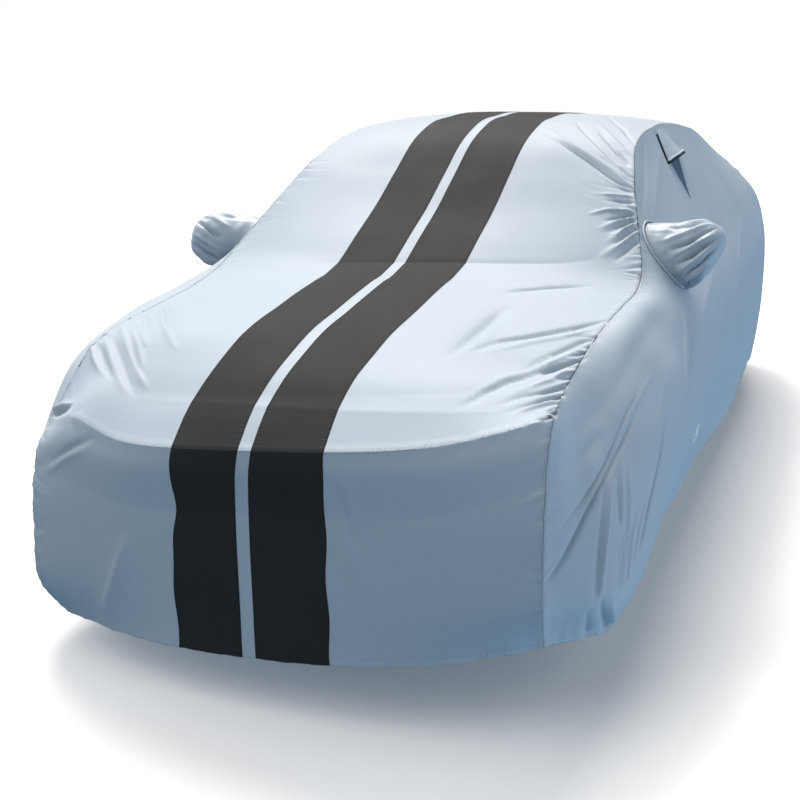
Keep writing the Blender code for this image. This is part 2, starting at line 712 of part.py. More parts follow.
def add_vent(hand, side, panel, finishes):
    tree = panel.tree()[0]
    turn = panel.flip
    near = region(*VENT_REGION)
    base = panel.layer(-0.030, SEW_GAP, *near)
    trim = add_cutter(f"vent_base_{hand}", *base)

    hood = vent_hood_grid(tree, side)
    normals = shared_normals([hood], [-turn])[0]
    body = add_object(
        f"vent_hood_{hand}", *shell_mesh(hood + TRIM * normals, hood, -turn), finishes["cloth"]
    )
    cut(body, trim)

    rim = hood[-2:] + (TRIM + SEW_GAP) * normals[-2:]
    edge = add_object(
        f"vent_edge_{hand}", *shell_mesh(rim + TRIM * normals[-2:], rim, -turn), finishes["binding"]
    )
    cut(edge, trim)

    patch = add_object(
        f"vent_patch_{hand}", *panel.layer(SEW_GAP, SEW_GAP + TRIM, *near), finishes["patch"]
    )
    corners = [PATCH_TOP[0], PATCH_TIP, PATCH_TOP[1]]
    outline = [on_window(tree, side, *corner)[0] for corner in corners]
    points, faces = prism_mesh(outline, np.array([0.12, 0.0, 0.0]))
    cut(patch, add_cutter(f"patch_outline_{hand}", points, facing_out(points, faces)), "INTERSECT")


# ------------------------------------------------------------------ eyelets


def flat_middle(panel, side):
    """The middle of the flat of the panel that lies nearest the eyelet's place, with its normal."""
    tree, points, triangles = panel.tree()
    _, normal, index = on_face(tree, side, *EYELET_PLACE)
    a, b, c = (points[i] for i in triangles[index])
    sides = np.array([np.linalg.norm(b - c), np.linalg.norm(c - a), np.linalg.norm(a - b)])
    return (sides[0] * a + sides[1] * b + sides[2] * c) / sides.sum(), normal


def eyelet_axes(normal):
    """Two directions in the flat, the first level along the car."""
    level = np.cross(normal, (0.0, 0.0, 1.0))
    level = level / np.linalg.norm(level)
    return level, np.cross(level, normal)


def circle(middle, axes, radius, sides):
    angle = np.linspace(0.0, 2 * math.pi, sides, endpoint=False)[:, None]
    return middle + radius * (np.cos(angle) * axes[0] + np.sin(angle) * axes[1])


def strip_outline(middle, axes):
    """A rectangle with cut corners round the ring."""
    length, height = STRIP_HALF
    corner = STRIP_CORNER
    flats = [
        (length, -height + corner), (length, height - corner), (length - corner, height),
        (-length + corner, height), (-length, height - corner), (-length, -height + corner),
        (-length + corner, -height), (length - corner, -height),
    ]
    return np.array([middle + u * axes[0] + v * axes[1] for u, v in flats])


def add_eyelet(hand, side, panel, panel_object, finishes):
    middle, normal = flat_middle(panel, side)
    axes = eyelet_axes(normal)
    barrel = EYELET_HOLE + EYELET_BARREL
    over, under = 2 * SEW_GAP + TRIM, -CLOTH - SEW_GAP
    profile = (
        (EYELET_HOLE, under - EYELET_PLATE),
        (EYELET_BACK, under - EYELET_PLATE),
        (EYELET_BACK, under),
        (barrel, under),
        (barrel, over),
        (EYELET_FLANGE, over),
        (EYELET_FLANGE, over + EYELET_PLATE),
        (EYELET_HOLE, over + EYELET_PLATE),
    )
    rings = [circle(middle + height * normal, axes, radius, EYELET_SIDES) for radius, height in profile]
    points = np.concatenate(rings)
    faces = []
    for k in range(len(rings)):
        for i in range(EYELET_SIDES):
            j = (i + 1) % EYELET_SIDES
            a, b = k * EYELET_SIDES, (k + 1) % len(rings) * EYELET_SIDES
            faces.append((a + i, a + j, b + j, b + i))
    add_object(f"eyelet_ring_{hand}", points, facing_out(points, faces), finishes["metal"])

    near = region(*EYELET_REGION)
    strip = add_object(
        f"eyelet_strip_{hand}", *panel.layer(SEW_GAP, SEW_GAP + TRIM, *near), finishes["cloth"]
    )
    points, faces = prism_mesh(strip_outline(middle, axes), 0.03 * normal)
    outline = add_cutter(f"strip_outline_{hand}", points, facing_out(points, faces))
    cut(strip, outline, "INTERSECT")
    hole = circle(middle, axes, barrel + SEW_GAP, EYELET_SIDES)
    points, faces = prism_mesh(hole, 0.03 * normal)
    bore = add_cutter(f"eyelet_bore_{hand}", points, facing_out(points, faces))
    cut(strip, bore)
    cut(panel_object, bore)


# ------------------------------------------------------------------ the cover


def main():
    for old in list(bpy.data.objects):
        bpy.data.objects.remove(old, do_unlink=True)
    finishes = {
        "cloth": material("cover_cloth", (0.50, 0.56, 0.62), 0.55),
        "stripe": material("stripe_cloth", (0.030, 0.030, 0.032), 0.60),
        "patch": material("patch_cloth", (0.16, 0.24, 0.34), 0.65),
        "binding": material("binding", (0.010, 0.010, 0.012), 0.60),
        "metal": material("eyelet_metal", (0.72, 0.73, 0.74), 0.30, 1.0),
    }
    panels = build_panels()
    made = {name: add_panel(name, panel, finishes["cloth"]) for name, panel in panels.items()}
    add_stripes(panels, finishes["stripe"])
    for hand, side, rows in (("left", 1, POCKET_LEFT), ("right", -1, POCKET_RIGHT)):
        name = f"side_panel_{hand}"
        add_pocket(hand, side, rows, panels[name], made[name], finishes["cloth"])
        add_vent(hand, side, panels[name], finishes)
        add_eyelet(hand, side, panels[name], made[name], finishes)


main()
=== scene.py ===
"""The looks of a fitted car cover: each panel is one thin sheet of cloth that hangs on its solid's surface,
with its folds, gathers, seams and hem, and each sewn-on piece is a sheet of its own.

Metres, +Z up. The front faces -Y and the car's own left side is +X. The tables measure y from the front axle
and z from the ground, and ORIGIN moves everything into the part's frame. Lengths are in metres where a table
doesn't say otherwise.
"""

import math

import bpy
import numpy as np
from mathutils import Matrix, Vector
from mathutils.bvhtree import BVHTree


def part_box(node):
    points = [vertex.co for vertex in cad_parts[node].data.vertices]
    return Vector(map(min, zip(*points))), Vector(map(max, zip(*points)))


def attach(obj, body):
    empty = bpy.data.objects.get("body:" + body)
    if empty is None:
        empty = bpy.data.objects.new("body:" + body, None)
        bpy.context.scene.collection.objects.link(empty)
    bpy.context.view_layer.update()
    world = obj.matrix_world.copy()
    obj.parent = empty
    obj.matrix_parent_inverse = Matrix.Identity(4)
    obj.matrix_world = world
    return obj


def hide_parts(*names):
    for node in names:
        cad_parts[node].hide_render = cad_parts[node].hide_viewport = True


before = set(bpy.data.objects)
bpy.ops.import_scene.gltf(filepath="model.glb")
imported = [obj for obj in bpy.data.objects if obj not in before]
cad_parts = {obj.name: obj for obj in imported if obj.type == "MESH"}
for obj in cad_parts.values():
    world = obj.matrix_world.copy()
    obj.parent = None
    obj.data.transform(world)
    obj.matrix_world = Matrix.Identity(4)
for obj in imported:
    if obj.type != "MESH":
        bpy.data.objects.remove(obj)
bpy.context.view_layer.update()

# --- sizes, the same as the solids'

CLOTH = 0.0015
SEW_GAP = 0.0003
STRIPE_INNER, STRIPE_OUTER = 0.019, 0.220
ROOF_TOP, ROOF_MIDDLE = 1.485, 1.95
ORIGIN = np.array([0.0, ROOF_MIDDLE, ROOF_TOP - CLOTH])
NOSE_LEAN, ROOF_LEAN = 0.075, 0.030

# Guide lines of a side, from the roof seam down to the hem, in millimetres. Columns: station, x, y, z.
GUIDES = [np.array(rows) / 1000 for rows in (
    (  # the seam
        (-415, 741, -415, 760), (-260, 733, -260, 836), (-140, 735, -140, 875), (100, 738, 100, 912),
        (340, 746, 340, 940), (514, 752, 514, 968), (620, 745, 620, 1012), (730, 717, 730, 1090),
        (880, 672, 880, 1202), (1040, 632, 1040, 1306), (1180, 606, 1180, 1370), (1330, 598, 1330, 1408),
        (1550, 596, 1550, 1434), (1950, 604, 1950, 1444), (2360, 630, 2360, 1414), (2700, 655, 2700, 1350),
        (3050, 690, 3050, 1265), (3330, 720, 3330, 1200), (3550, 732, 3550, 1160), (3740, 708, 3740, 1100),
    ),
    (  # shoulder
        (-415, 748, -490, 680), (-260, 815, -335, 725), (-140, 838, -170, 800), (100, 815, 100, 900),
        (340, 812, 340, 932), (620, 812, 620, 965), (880, 812, 880, 1015), (1330, 815, 1330, 1050),
        (1950, 825, 1950, 1060), (2500, 840, 2500, 1065), (3050, 842, 3050, 1090), (3330, 836, 3330, 1080),
        (3550, 805, 3580, 1035), (3740, 735, 3830, 980),
    ),
    (  # flank
        (-415, 753, -530, 580), (-260, 860, -350, 600), (-140, 900, -180, 670), (100, 912, 100, 770),
        (620, 912, 620, 820), (1330, 912, 1330, 860), (2500, 918, 2500, 880), (3050, 915, 3050, 900),
        (3330, 897, 3360, 890), (3550, 835, 3640, 840), (3740, 745, 3880, 820),
    ),
    (  # waist
        (-415, 755, -545, 450), (-260, 882, -360, 450), (-140, 915, -180, 470), (100, 930, 100, 520),
        (1330, 930, 1330, 570), (2500, 932, 2500, 600), (3050, 930, 3050, 620), (3330, 908, 3380, 620),
        (3550, 838, 3680, 620), (3740, 745, 3930, 620),
    ),
    (  # skirt
        (-415, 752, -535, 300), (-260, 882, -355, 290), (-140, 902, -170, 290), (100, 905, 100, 340),
        (1330, 905, 1330, 380), (2500, 915, 2500, 380), (3050, 920, 3050, 400), (3330, 898, 3370, 400),
        (3550, 828, 3660, 380), (3740, 735, 3900, 380),
    ),
    (  # hem
        (-415, 737, -460, 176), (-260, 825, -275, 178), (-140, 845, -150, 172), (0, 855, 0, 198),
        (120, 864, 120, 222), (500, 866, 500, 248), (1200, 866, 1200, 228), (2100, 885, 2100, 180),
        (2500, 893, 2500, 205), (2900, 893, 2900, 215), (3200, 885, 3200, 190), (3420, 855, 3420, 175),
        (3580, 800, 3660, 175), (3740, 715, 3840, 180),
    ),
)]
SEAM = GUIDES[0]

# The top's middle line. Columns: station, y, z, and how late the cloth leaves its y and z, as powers.
MIDDLE = (
    (-0.415, -0.586, 0.700, 3.0, 5.0), (-0.330, -0.500, 0.778, 3.0, 4.5), (-0.260, -0.413, 0.830, 3.0, 3.2),
    (-0.140, -0.250, 0.892, 2.6, 2.6), (0.100, 0.020, 0.954, 2.4, 2.4), (0.340, 0.235, 0.991, 2.2, 2.4),
    (0.514, 0.335, 1.006, 2.2, 2.6), (0.620, 0.430, 1.034, 2.2, 2.8), (0.730, 0.560, 1.098, 2.2, 2.6),
    (0.880, 0.720, 1.176, 2.2, 2.6), (1.040, 0.900, 1.281, 2.2, 2.6), (1.180, 1.080, 1.386, 2.2, 2.6),
    (1.330, 1.270, 1.448, 2.2, 2.6), (1.550, 1.520, 1.478, 2.0, 2.6), (1.950, ROOF_MIDDLE, ROOF_TOP, 2.0, 2.6),
    (2.360, 2.360, 1.455, 2.0, 2.6), (2.700, 2.720, 1.385, 2.0, 2.6), (3.050, 3.080, 1.275, 2.0, 2.6),
    (3.330, 3.400, 1.190, 2.0, 2.6), (3.550, 3.660, 1.155, 2.0, 2.6), (3.740, 3.870, 1.115, 2.6, 2.6),
)
# The middle lines of the two ends, from the cross seam down. Columns: guide line number, y, z.
FRONT = ((0, -0.586, 0.700), (1, -0.606, 0.640), (2, -0.614, 0.540), (3, -0.618, 0.420), (4, -0.620, 0.280),
         (5, -0.624, 0.150))
REAR = ((0, 3.870, 1.115), (1, 3.935, 1.020), (2, 3.965, 0.860), (3, 3.975, 0.640), (4, 3.955, 0.400),
        (5, 3.910, 0.185))
END_DROP_POWER = 2.2

# Where the cloth has slipped or bags. Columns: x, y, z, reach, then its move in x, y and z.
UNEVEN = (
    (-0.75, -0.42, 0.72, 0.11, -0.022, 0.004, -0.055),
    (-0.58, -0.47, 0.71, 0.14, 0.000, 0.000, 0.040),
    (-0.76, -0.48, 0.15, 0.15, -0.020, -0.010, -0.022),
    (-0.82, -0.44, 0.45, 0.20, 0.013, 0.004, 0.000),
)

# Where the camera stands and looks, its focal length and the picture's side, both in points of the picture.
EYE = (1.34530987, -2.70196219, 1.49046822)
YAW, PITCH, ROLL = 0.409799843, 0.265335894, -0.0279567391
FOCAL, FRAME = 1048.64, 800.0

# How far the front cross seam stands proud of the solids, how far that reaches from it and how it falls off.
LIP, LIP_REACH, LIP_POWER = 0.042, 0.17, 1.3
# How far the left wing's cloth sags below the solid's. Where the sag starts and fades out down from the bonnet
# seam, starts back from the front corner and fades out along y, each as a place and a length.
WING_SAG = 0.032
SAG_STARTS, SAG_FADES, SAG_BACK, SAG_ENDS = (0.015, 0.12), (0.14, 0.35), (0.03, 0.14), (0.30, 0.35)
# The front stripes' outer edges have slipped towards the car's left. On its left: how far, and over what length
# down from the seam that begins. On its right: how far, at what place down, and how far from there.
SLIP_LEFT, SLIP_RIGHT = (0.012, 0.12), (0.024, 0.17, 0.065)
# How far beside an edge its slip reaches, over what length down it begins, and the wave of both edges.
SLIP_BESIDE, SLIP_DOWN, SLIP_WAVE, SLIP_TURNS = 0.06, 0.05, 0.003, 30.0

# --- the folds, placed one by one

# Folds drawn over the photo. Columns: width and height in millimetres (a trough's height is negative), where along
# the line the fold is highest, then across and down of each point of its line in the photo's frame.
PHOTO_FOLDS = (
    # bonnet, left half: from the gathers at the seam towards the nose
    (24, -16, 0.5, 452, 356, 480, 330, 508, 306),
    (14, 6, 0.5, 454, 360, 485, 336, 506, 318),
    (9, -14, 0.5, 472, 352, 500, 341, 530, 336, 570, 329, 592, 324, 610, 320),
    (8, 7, 0.5, 490, 352, 530, 343, 570, 336, 600, 328),
    (12, -11, 0.25, 506, 292, 525, 289, 550, 287, 590, 286),
    (8, -11, 0.9, 520, 374, 545, 359, 565, 349, 582, 341, 598, 337),
    (6, -8, 0.85, 512, 383, 530, 376, 548, 370, 565, 365, 582, 358),
    (10, -9, 0.6, 462, 407, 485, 392, 510, 381, 530, 376),
    (8, 6, 0.7, 468, 398, 500, 379, 530, 371, 555, 361, 580, 350),
    (8, 7, 0.8, 505, 396, 530, 387, 550, 380, 572, 370),
    (6, -9, 0.9, 498, 405, 520, 397, 545, 391, 557, 388, 567, 385),
    (6, -9, 0.9, 505, 414, 524, 406, 538, 401, 552, 397, 564, 394),
    (6, 9, 0.8, 515, 413, 535, 407, 560, 400),
    (6, -16, 0.9, 535, 421, 548, 417, 557, 412),
    (5, -11, 0.9, 546, 412, 559, 407),
    (5, -11, 0.9, 566, 357, 586, 351),
    (5.5, -26, 0.5, 543, 373, 556, 368, 570, 363, 585, 357),
    (5, -24, 0.5, 541, 393, 554, 389, 568, 385),
    (5, -26, 0.5, 537, 402, 550, 398, 565, 394),
    (5, -24, 0.5, 541, 420, 549, 417, 558, 412),
    (4.5, -14, 0.5, 575, 354, 587, 350),
    # bonnet, right half
    (10, 10, 0.4, 92, 343, 94, 358, 99, 369, 106, 377),
    (12, -11, 0.5, 99, 345, 104, 362, 112, 380),
    (10, 7, 0.4, 105, 338, 111, 358, 118, 378, 126, 394),
    (12, -11, 0.5, 113, 336, 119, 355, 127, 378, 134, 394),
    (8, 11, 0.6, 121, 326, 127, 345, 134, 363, 141, 379, 146, 389),
    (8, -10, 0.5, 131, 345, 137, 364, 143, 378),
    (6, 8, 0.5, 132, 328, 138, 345, 141, 364, 140, 381),
    (9, -8, 0.5, 144, 312, 147, 334),
    (7, 7, 0.8, 139, 322, 146, 347),
    (7, 8, 0.6, 161, 302, 164, 324, 171, 342, 177, 350),
    (9, -8, 0.4, 167, 306, 170, 331),
    (12, -22, 0.4, 46, 419, 58, 412, 70, 407),
    (9, 14, 0.4, 51, 412, 64, 405, 74, 404),
    (16, 1.8, 0.5, 138, 399, 220, 404, 300, 409, 400, 412, 520, 412),
    # roof corner and windscreen
    (5, -14, 0.7, 545, 134, 562, 143, 580, 155, 600, 169, 620, 183, 633, 190),
    (6, 11, 0.6, 548, 129, 575, 147, 600, 163, 632, 186),
    (6, -10, 0.6, 575, 121, 594, 141, 612, 160, 632, 180),
    (5, 7, 0.6, 582, 133, 605, 156, 632, 176),
    (7, -14, 0.7, 600, 132, 614, 147, 630, 166),
    (5, 7, 0.7, 596, 122, 614, 139, 633, 158),
    (5, -9, 0.7, 606, 116, 622, 128, 636, 146),
    (6, 7, 0.8, 596, 193, 614, 195, 634, 197),
    (5, -10, 0.8, 606, 200, 634, 203),
    (6, 11, 0.7, 590, 214, 606, 210, 635, 212),
    (5, -14, 0.8, 606, 221, 620, 217, 635, 214),
    (7, 9, 0.7, 600, 229, 616, 222, 636, 217),
    (6, -10, 0.8, 606, 233, 622, 226, 636, 219),
    (7, 11, 0.7, 609, 242, 622, 231, 637, 222),
    (6, -10, 0.8, 613, 246, 626, 236, 638, 228),
    (8, 11, 0.8, 600, 258, 622, 244, 638, 231),
    (8, -10, 0.8, 614, 262, 628, 250, 640, 240),
    (20, -4, 0.5, 300, 262, 400, 262, 500, 263, 560, 263, 588, 260, 606, 253),
    # front panel
    (7, 7, 0.4, 128, 533, 119, 560, 111, 590, 103, 616),
    (8, -6, 0.5, 333, 478, 345, 510, 352, 538, 358, 560),
    (8, -6, 0.5, 352, 550, 362, 575, 372, 600, 381, 622),
    (8, 5, 0.5, 341, 478, 352, 508, 359, 536),
    (8, -9, 0.4, 94, 437, 72, 447, 48, 463),
    (8, 6, 0.5, 88, 448, 66, 458, 44, 474),
    # left flank, fanning out from the wing
    (9, 8, 0.6, 686, 300, 685, 350, 684, 385, 681, 418),
    (11, -7, 0.6, 693, 330, 690, 380, 687, 420),
    (5, 4, 0.7, 652, 374, 644, 387, 634, 404, 622, 428, 610, 450),
    (6, -10, 0.6, 640, 390, 628, 412, 618, 434, 608, 460, 596, 482, 580, 505, 560, 528),
    (6, 6, 0.6, 618, 452, 605, 474, 590, 498, 576, 524),
    (6, -14, 0.8, 640, 402, 624, 440, 612, 464, 600, 487, 588, 510, 577, 535, 564, 560, 548, 583),
    (24, -8, 0.4, 604, 434, 582, 455, 560, 476),
    (6, 5, 0.5, 661, 380, 662, 392, 659, 410, 655, 434, 649, 470),
    (7, -18, 0.6, 664, 420, 661, 455, 657, 476, 651, 502, 645, 530, 639, 557),
    (6, -12, 0.8, 617, 470, 619, 500, 621, 525, 623, 550, 624, 590),
    (6, 9, 0.6, 622, 455, 621, 500, 622, 560, 621, 600),
    (6, 8, 0.6, 628, 460, 629, 495, 628, 530, 627, 570),
    (6, -14, 0.8, 638, 505, 633, 535, 631, 560, 628, 588),
    (6, -10, 0.7, 645, 500, 639, 535, 634, 568),
    (6, 9, 0.6, 611, 470, 608, 520, 604, 565, 599, 612),
    (6, -9, 0.6, 605, 480, 601, 540, 596, 600),
    (12, -13, 0.9, 599, 590, 603, 612, 606, 630),
    (10, 6, 0.8, 612, 590, 614, 622),
    (10, -8, 0.9, 588, 612, 587, 634),
    (30, 8, 0.5, 715, 262, 700, 320, 697, 380),
    (28, -7, 0.5, 726, 270, 716, 340, 712, 396),
    (20, 6, 0.5, 742, 210, 737, 270, 732, 350),
    (16, 6, 0.6, 660, 150, 656, 180, 654, 215),
    (14, -7, 0.5, 644, 138, 645, 175, 643, 215),
)
# Folds that lie elsewhere, with x, y and z of each point in millimetres.
PLACED_FOLDS = (
    # front panel
    (26, 7, 0.5, 250, -600, 640, 290, -610, 510, 370, -610, 310),
    (34, 8, 0.5, -360, -610, 420, -500, -580, 130),
    (18, -8, 0.5, -530, -520, 670, -730, -520, 550),
    # left flank, fanning out from the wing
    (30, -10, 0.5, 930, 2610, 820, 930, 2500, 500),
    (50, 8, 0.5, 900, 3060, 950, 920, 3000, 400),
    # right flank and rear
    (30, 12, 0.5, -900, 100, 800, -900, -100, 560, -860, -300, 360),
    (24, -12, 0.5, -920, 140, 660, -910, 0, 460, -880, -160, 280),
    (20, 10, 0.7, -920, 220, 660, -920, 120, 460, -890, 40, 260),
    (34, -10, 0.5, -900, 700, 860, -930, 640, 660, -920, 520, 420),
    (40, 10, 0.5, -900, 1300, 880, -930, 1260, 660, -920, 1180, 400),
    (40, -10, 0.5, -900, 2100, 880, -930, 2080, 660, -920, 2060, 380),
    (34, 10, 0.5, -910, 2750, 900, -930, 2720, 660, -920, 2700, 400),
    (30, -9, 0.5, -660, 3600, 1100, -540, 3860, 920, -400, 3950, 700),
    (30, 10, 0.5, 600, 3620, 1120, 440, 3920, 860, 300, 3970, 600),
    (34, -8, 0.5, 100, 3900, 1050, 140, 3960, 740, 160, 3960, 400),
)

# Gathers along a seam, in millimetres. Columns: first and last place along it, pitch, width, depth, reach on this
# side of the seam, then the slant (how far a pleat leans along the seam for its way away from it).
# Along the bonnet, pillar and roof seam the place is its distance from the front corner.
LEFT_TOP_GATHERS = (
    (20, 500, 15, 5, 8.5, 26, -0.4),
    (500, 1000, 40, 8, 1.8, 40, -0.6),
    (1000, 1260, 18, 5.2, 4.4, 45, -0.1),
    (1260, 1620, 15, 5, 6, 85, 0.8),
    (1620, 2200, 22, 6, 2, 55, 0.6),
    (2200, 4400, 60, 14, 1.6, 50, 0.0),
)
RIGHT_TOP_GATHERS = (
    (20, 500, 20, 6, 3.4, 45, -0.6),
    (500, 1000, 46, 9, 2, 50, -0.6),
    (1000, 1600, 20, 5.5, 2.6, 55, 0.2),
    (1600, 2200, 28, 7, 1.8, 50, 0.5),
    (2200, 4400, 60, 14, 1.6, 50, 0.0),
)
SIDE_GATHERS = (
    (20, 1000, 40, 8, 1.2, 30, 0.4),
    (1000, 1600, 24, 6, 2, 40, 0.6),
    (1600, 2300, 34, 8, 1.6, 40, 0.3),
    (2300, 4400, 60, 14, 1.6, 50, 0.0),
)
CORNER_GATHERS = (
    (20, 220, 17, 5.2, 4, 32, 0.3),
    (220, 620, 21, 6, 4, 34, -0.3),
)
# Along the cross seam the place is the distance from the middle.
CROSS_GATHERS = (
    (-740, -520, 26, 7, 2.2, 40, 0.6),
    (-520, 580, 70, 10, 0.7, 18, 0.0),
    (580, 740, 22, 6, 2.2, 35, -0.6),
)

# --- curves through the tables


def along(rows, at):
    """A smooth curve through the rows: the first column is where, the rest is what."""
    table = np.array(rows, float)
    where, value = table[:, 0], table[:, 1:]
    at = np.clip(np.asarray(at, float), where[0], where[-1])
    step = np.diff(where)
    slope = np.diff(value, axis=0) / step[:, None]
    before, after = step[:-1, None], step[1:, None]
    middle = (slope[:-1] * after + slope[1:] * before) / (before + after)
    slopes = np.concatenate([slope[:1], middle, slope[-1:]])
    i = np.clip(np.searchsorted(where, at, side="right") - 1, 0, len(step) - 1)
    share = ((at - where[i]) / step[i])[..., None]
    length = step[i][..., None]
    return hermite(share, value[i], value[i + 1], slopes[i] * length, slopes[i + 1] * length)


def hermite(share, start, end, leave, arrive):
    squared, cubed = share**2, share**3
    return (
        (2 * cubed - 3 * squared + 1) * start
        + (cubed - 2 * squared + share) * leave
        + (3 * squared - 2 * cubed) * end
        + (cubed - squared) * arrive
    )


def smoothstep(share):
    share = np.clip(share, 0.0, 1.0)
    return share * share * (3 - 2 * share)


def section_point(station, drop):
    """A point of the even +X side: drop is 0 at the seam, and 1 more at each guide line below it."""
    guides = np.stack([along(rows, station) for rows in GUIDES], axis=-2)
    edge = np.diff(guides, axis=-2)
    length = np.linalg.norm(edge, axis=-1, keepdims=True)
    heading = edge / length
    before, after = length[..., :-1, :], length[..., 1:, :]
    inner = (heading[..., :-1, :] * after + heading[..., 1:, :] * before) / (before + after)
    headings = np.concatenate([heading[..., :1, :], inner, heading[..., -1:, :]], axis=-2)
    i = np.clip(np.asarray(drop).astype(int), 0, len(GUIDES) - 2)

    def pick(values, index):
        return np.take_along_axis(values, index[..., None, None], axis=-2)[..., 0, :]

    span = pick(length, i)
    return hermite(
        (drop - i)[..., None],
        pick(guides, i),
        pick(guides, i + 1),
        pick(headings, i) * span,
        pick(headings, i + 1) * span,
    )


def drape(points):
    """Sets the even surface askew and slips it where the cloth has slipped."""
    x, y = points[..., 0], points[..., 1]
    lean = NOSE_LEAN * smoothstep((-0.20 - y) / 0.30) - ROOF_LEAN * smoothstep((y - 0.20) / 0.60)
    points = points.copy()
    points[..., 2] += x * lean
    draped = points.copy()
    for row in UNEVEN:
        centre, reach, move = np.array(row[:3]), row[3], np.array(row[4:])
        near = np.exp(-np.sum(((points - centre) / reach) ** 2, axis=-1))
        draped += near[..., None] * move
    return draped


def top_surface(station, x):
    seam = along(SEAM, station)
    middle = along(MIDDLE, station)
    out = np.abs(x) / seam[..., 0]
    y = middle[..., 0] + (seam[..., 1] - middle[..., 0]) * out ** middle[..., 2]
    z = middle[..., 1] + (seam[..., 2] - middle[..., 1]) * out ** middle[..., 3]
    return drape(np.stack([x, y, z], axis=-1))


def end_surface(rows, station, out, drop):
    """The front or rear face: out runs from -1 to 1 between the corner seams."""
    corner = section_point(np.full_like(drop, station), drop)
    middle = along(rows, drop)
    y_power, z_power = along(MIDDLE, station)[2:]
    z_power = z_power + (END_DROP_POWER - z_power) * np.clip(drop / 2, 0.0, 1.0)
    away = np.abs(out)
    y = middle[..., 0] + (corner[..., 1] - middle[..., 0]) * away**y_power
    z = middle[..., 1] + (corner[..., 2] - middle[..., 1]) * away**z_power
    return drape(np.stack([corner[..., 0] * out, y, z], axis=-1))


# --- fine grids on the surface


def runs(rows):
    """Values from first to last with a count each, joined end to end."""
    parts = [np.linspace(first, last, count) for first, last, count in rows]
    return np.concatenate([part[:-1] for part in parts[:-1]] + parts[-1:])


STATIONS = runs(((-0.415, 0.62, 250), (0.62, 1.30, 175), (1.30, 1.75, 60), (1.75, 3.74, 64)))
SHARES = runs(((0.0, 0.06, 15), (0.06, 0.955, 112), (0.955, 1.0, 13)))
OUTER = runs(((0.0, 0.86, 42), (0.86, 1.0, 16)))
STRIPE_CELLS = 22


def drops_of(stations):
    """Each station's drops at even shares of its length from the seam to the hem."""
    fine = np.linspace(0.0, len(GUIDES) - 1.0, 161)
    points = section_point(*np.meshgrid(stations, fine, indexing="ij"))
    steps = np.linalg.norm(np.diff(points, axis=1), axis=-1)
    length = np.concatenate([np.zeros((len(stations), 1)), np.cumsum(steps, axis=1)], axis=1)
    return np.stack([np.interp(SHARES * row[-1], row, fine) for row in length])


def columns(half_width):
    """x values across a panel, from -half_width to half_width, on both stripes' edges."""
    stripe = np.linspace(STRIPE_INNER, STRIPE_OUTER, STRIPE_CELLS + 1)
    outer = STRIPE_OUTER + (half_width - STRIPE_OUTER) * OUTER[1:]
    right = np.concatenate([[STRIPE_INNER / 2], stripe, outer])
    return np.concatenate([-right[::-1], [0.0], right])


DROPS = drops_of(STATIONS)
STRIPE_COLUMNS = {
    "left": slice(len(OUTER) + STRIPE_CELLS + 3, len(OUTER) + 2 * STRIPE_CELLS + 4),
    "right": slice(len(OUTER) - 1, len(OUTER) + STRIPE_CELLS),
}


def top_grid():
    across = np.stack([columns(width) for width in along(SEAM, STATIONS)[:, 0]])
    return top_surface(np.repeat(STATIONS[:, None], across.shape[1], axis=1), across)


def side_grid(side):
    station = np.repeat(STATIONS[:, None], DROPS.shape[1], axis=1)
    return drape(section_point(station, DROPS) * np.array([side, 1.0, 1.0]))


def end_grid(rows, row):
    station, drops = STATIONS[row], DROPS[row]
    widths = section_point(np.full_like(drops, station), drops)[:, 0]
    out = np.stack([columns(width) / width for width in widths])
    return end_surface(rows, station, out, np.repeat(drops[:, None], out.shape[1], axis=1))


def quads(rows, cols):
    """Corners of a grid's faces, going round."""
    a = (np.arange(rows - 1)[:, None] * cols + np.arange(cols - 1)).ravel()
    return np.stack([a, a + cols, a + cols + 1, a + 1], axis=1)


def normals_of(grids, flips):
    """Unit vectors out of the cloth at each grid point, shared where sheets meet."""
    points = np.concatenate([grid.reshape(-1, 3) for grid in grids])
    key = np.round(points * 1e4).astype(np.int64)
    code = (key[:, 0] * 200003 + key[:, 1]) * 200003 + key[:, 2]
    same = np.unique(code, return_inverse=True)[1].reshape(-1)
    sums = np.zeros((same.max() + 1, 3))
    start = 0
    for grid, flip in zip(grids, flips):
        a, b, c, d = (quads(*grid.shape[:2]) + start).T
        normal = np.cross(points[c] - points[a], points[d] - points[b]) * flip
        for corner in (a, b, c, d):
            np.add.at(sums, same[corner], normal)
        start += grid.shape[0] * grid.shape[1]
    sums /= np.maximum(np.linalg.norm(sums, axis=1, keepdims=True), 1e-12)
    found, start = [], 0
    for grid in grids:
        count = grid.shape[0] * grid.shape[1]
        found.append(sums[same[start : start + count]].reshape(grid.shape))
        start += count
    return found


def lengths(grid, axis):
    """Distance along the cloth from the grid's first row or column."""
    steps = np.linalg.norm(np.diff(grid, axis=axis), axis=-1)
    return np.concatenate([np.zeros_like(np.take(steps, [0], axis)), np.cumsum(steps, axis=axis)], axis=axis)


# --- what lifts the cloth off the surface

# How steeply a fold falls away beside its line and how round its crest is, by its width. How much of its height it
# keeps at its ends, how it rises from them, and the least share of the line for its far end.
FOLD_FALL, FOLD_ROUND, FOLD_ENDS, FOLD_RISE, FOLD_FAR = 1.5, 0.3, 0.1, 0.8, 0.06
# How far a fold reaches, in its widths, and the points of the picture between its places on the surface.
FOLD_REACH, FOLD_STEP = 4, 8
# The number of slow waves in slack cloth, the shortest as a share of the longest, and the turn of their starts.
WAVES, SHORTEST_WAVE, TURN = 14, 0.23, 6.28
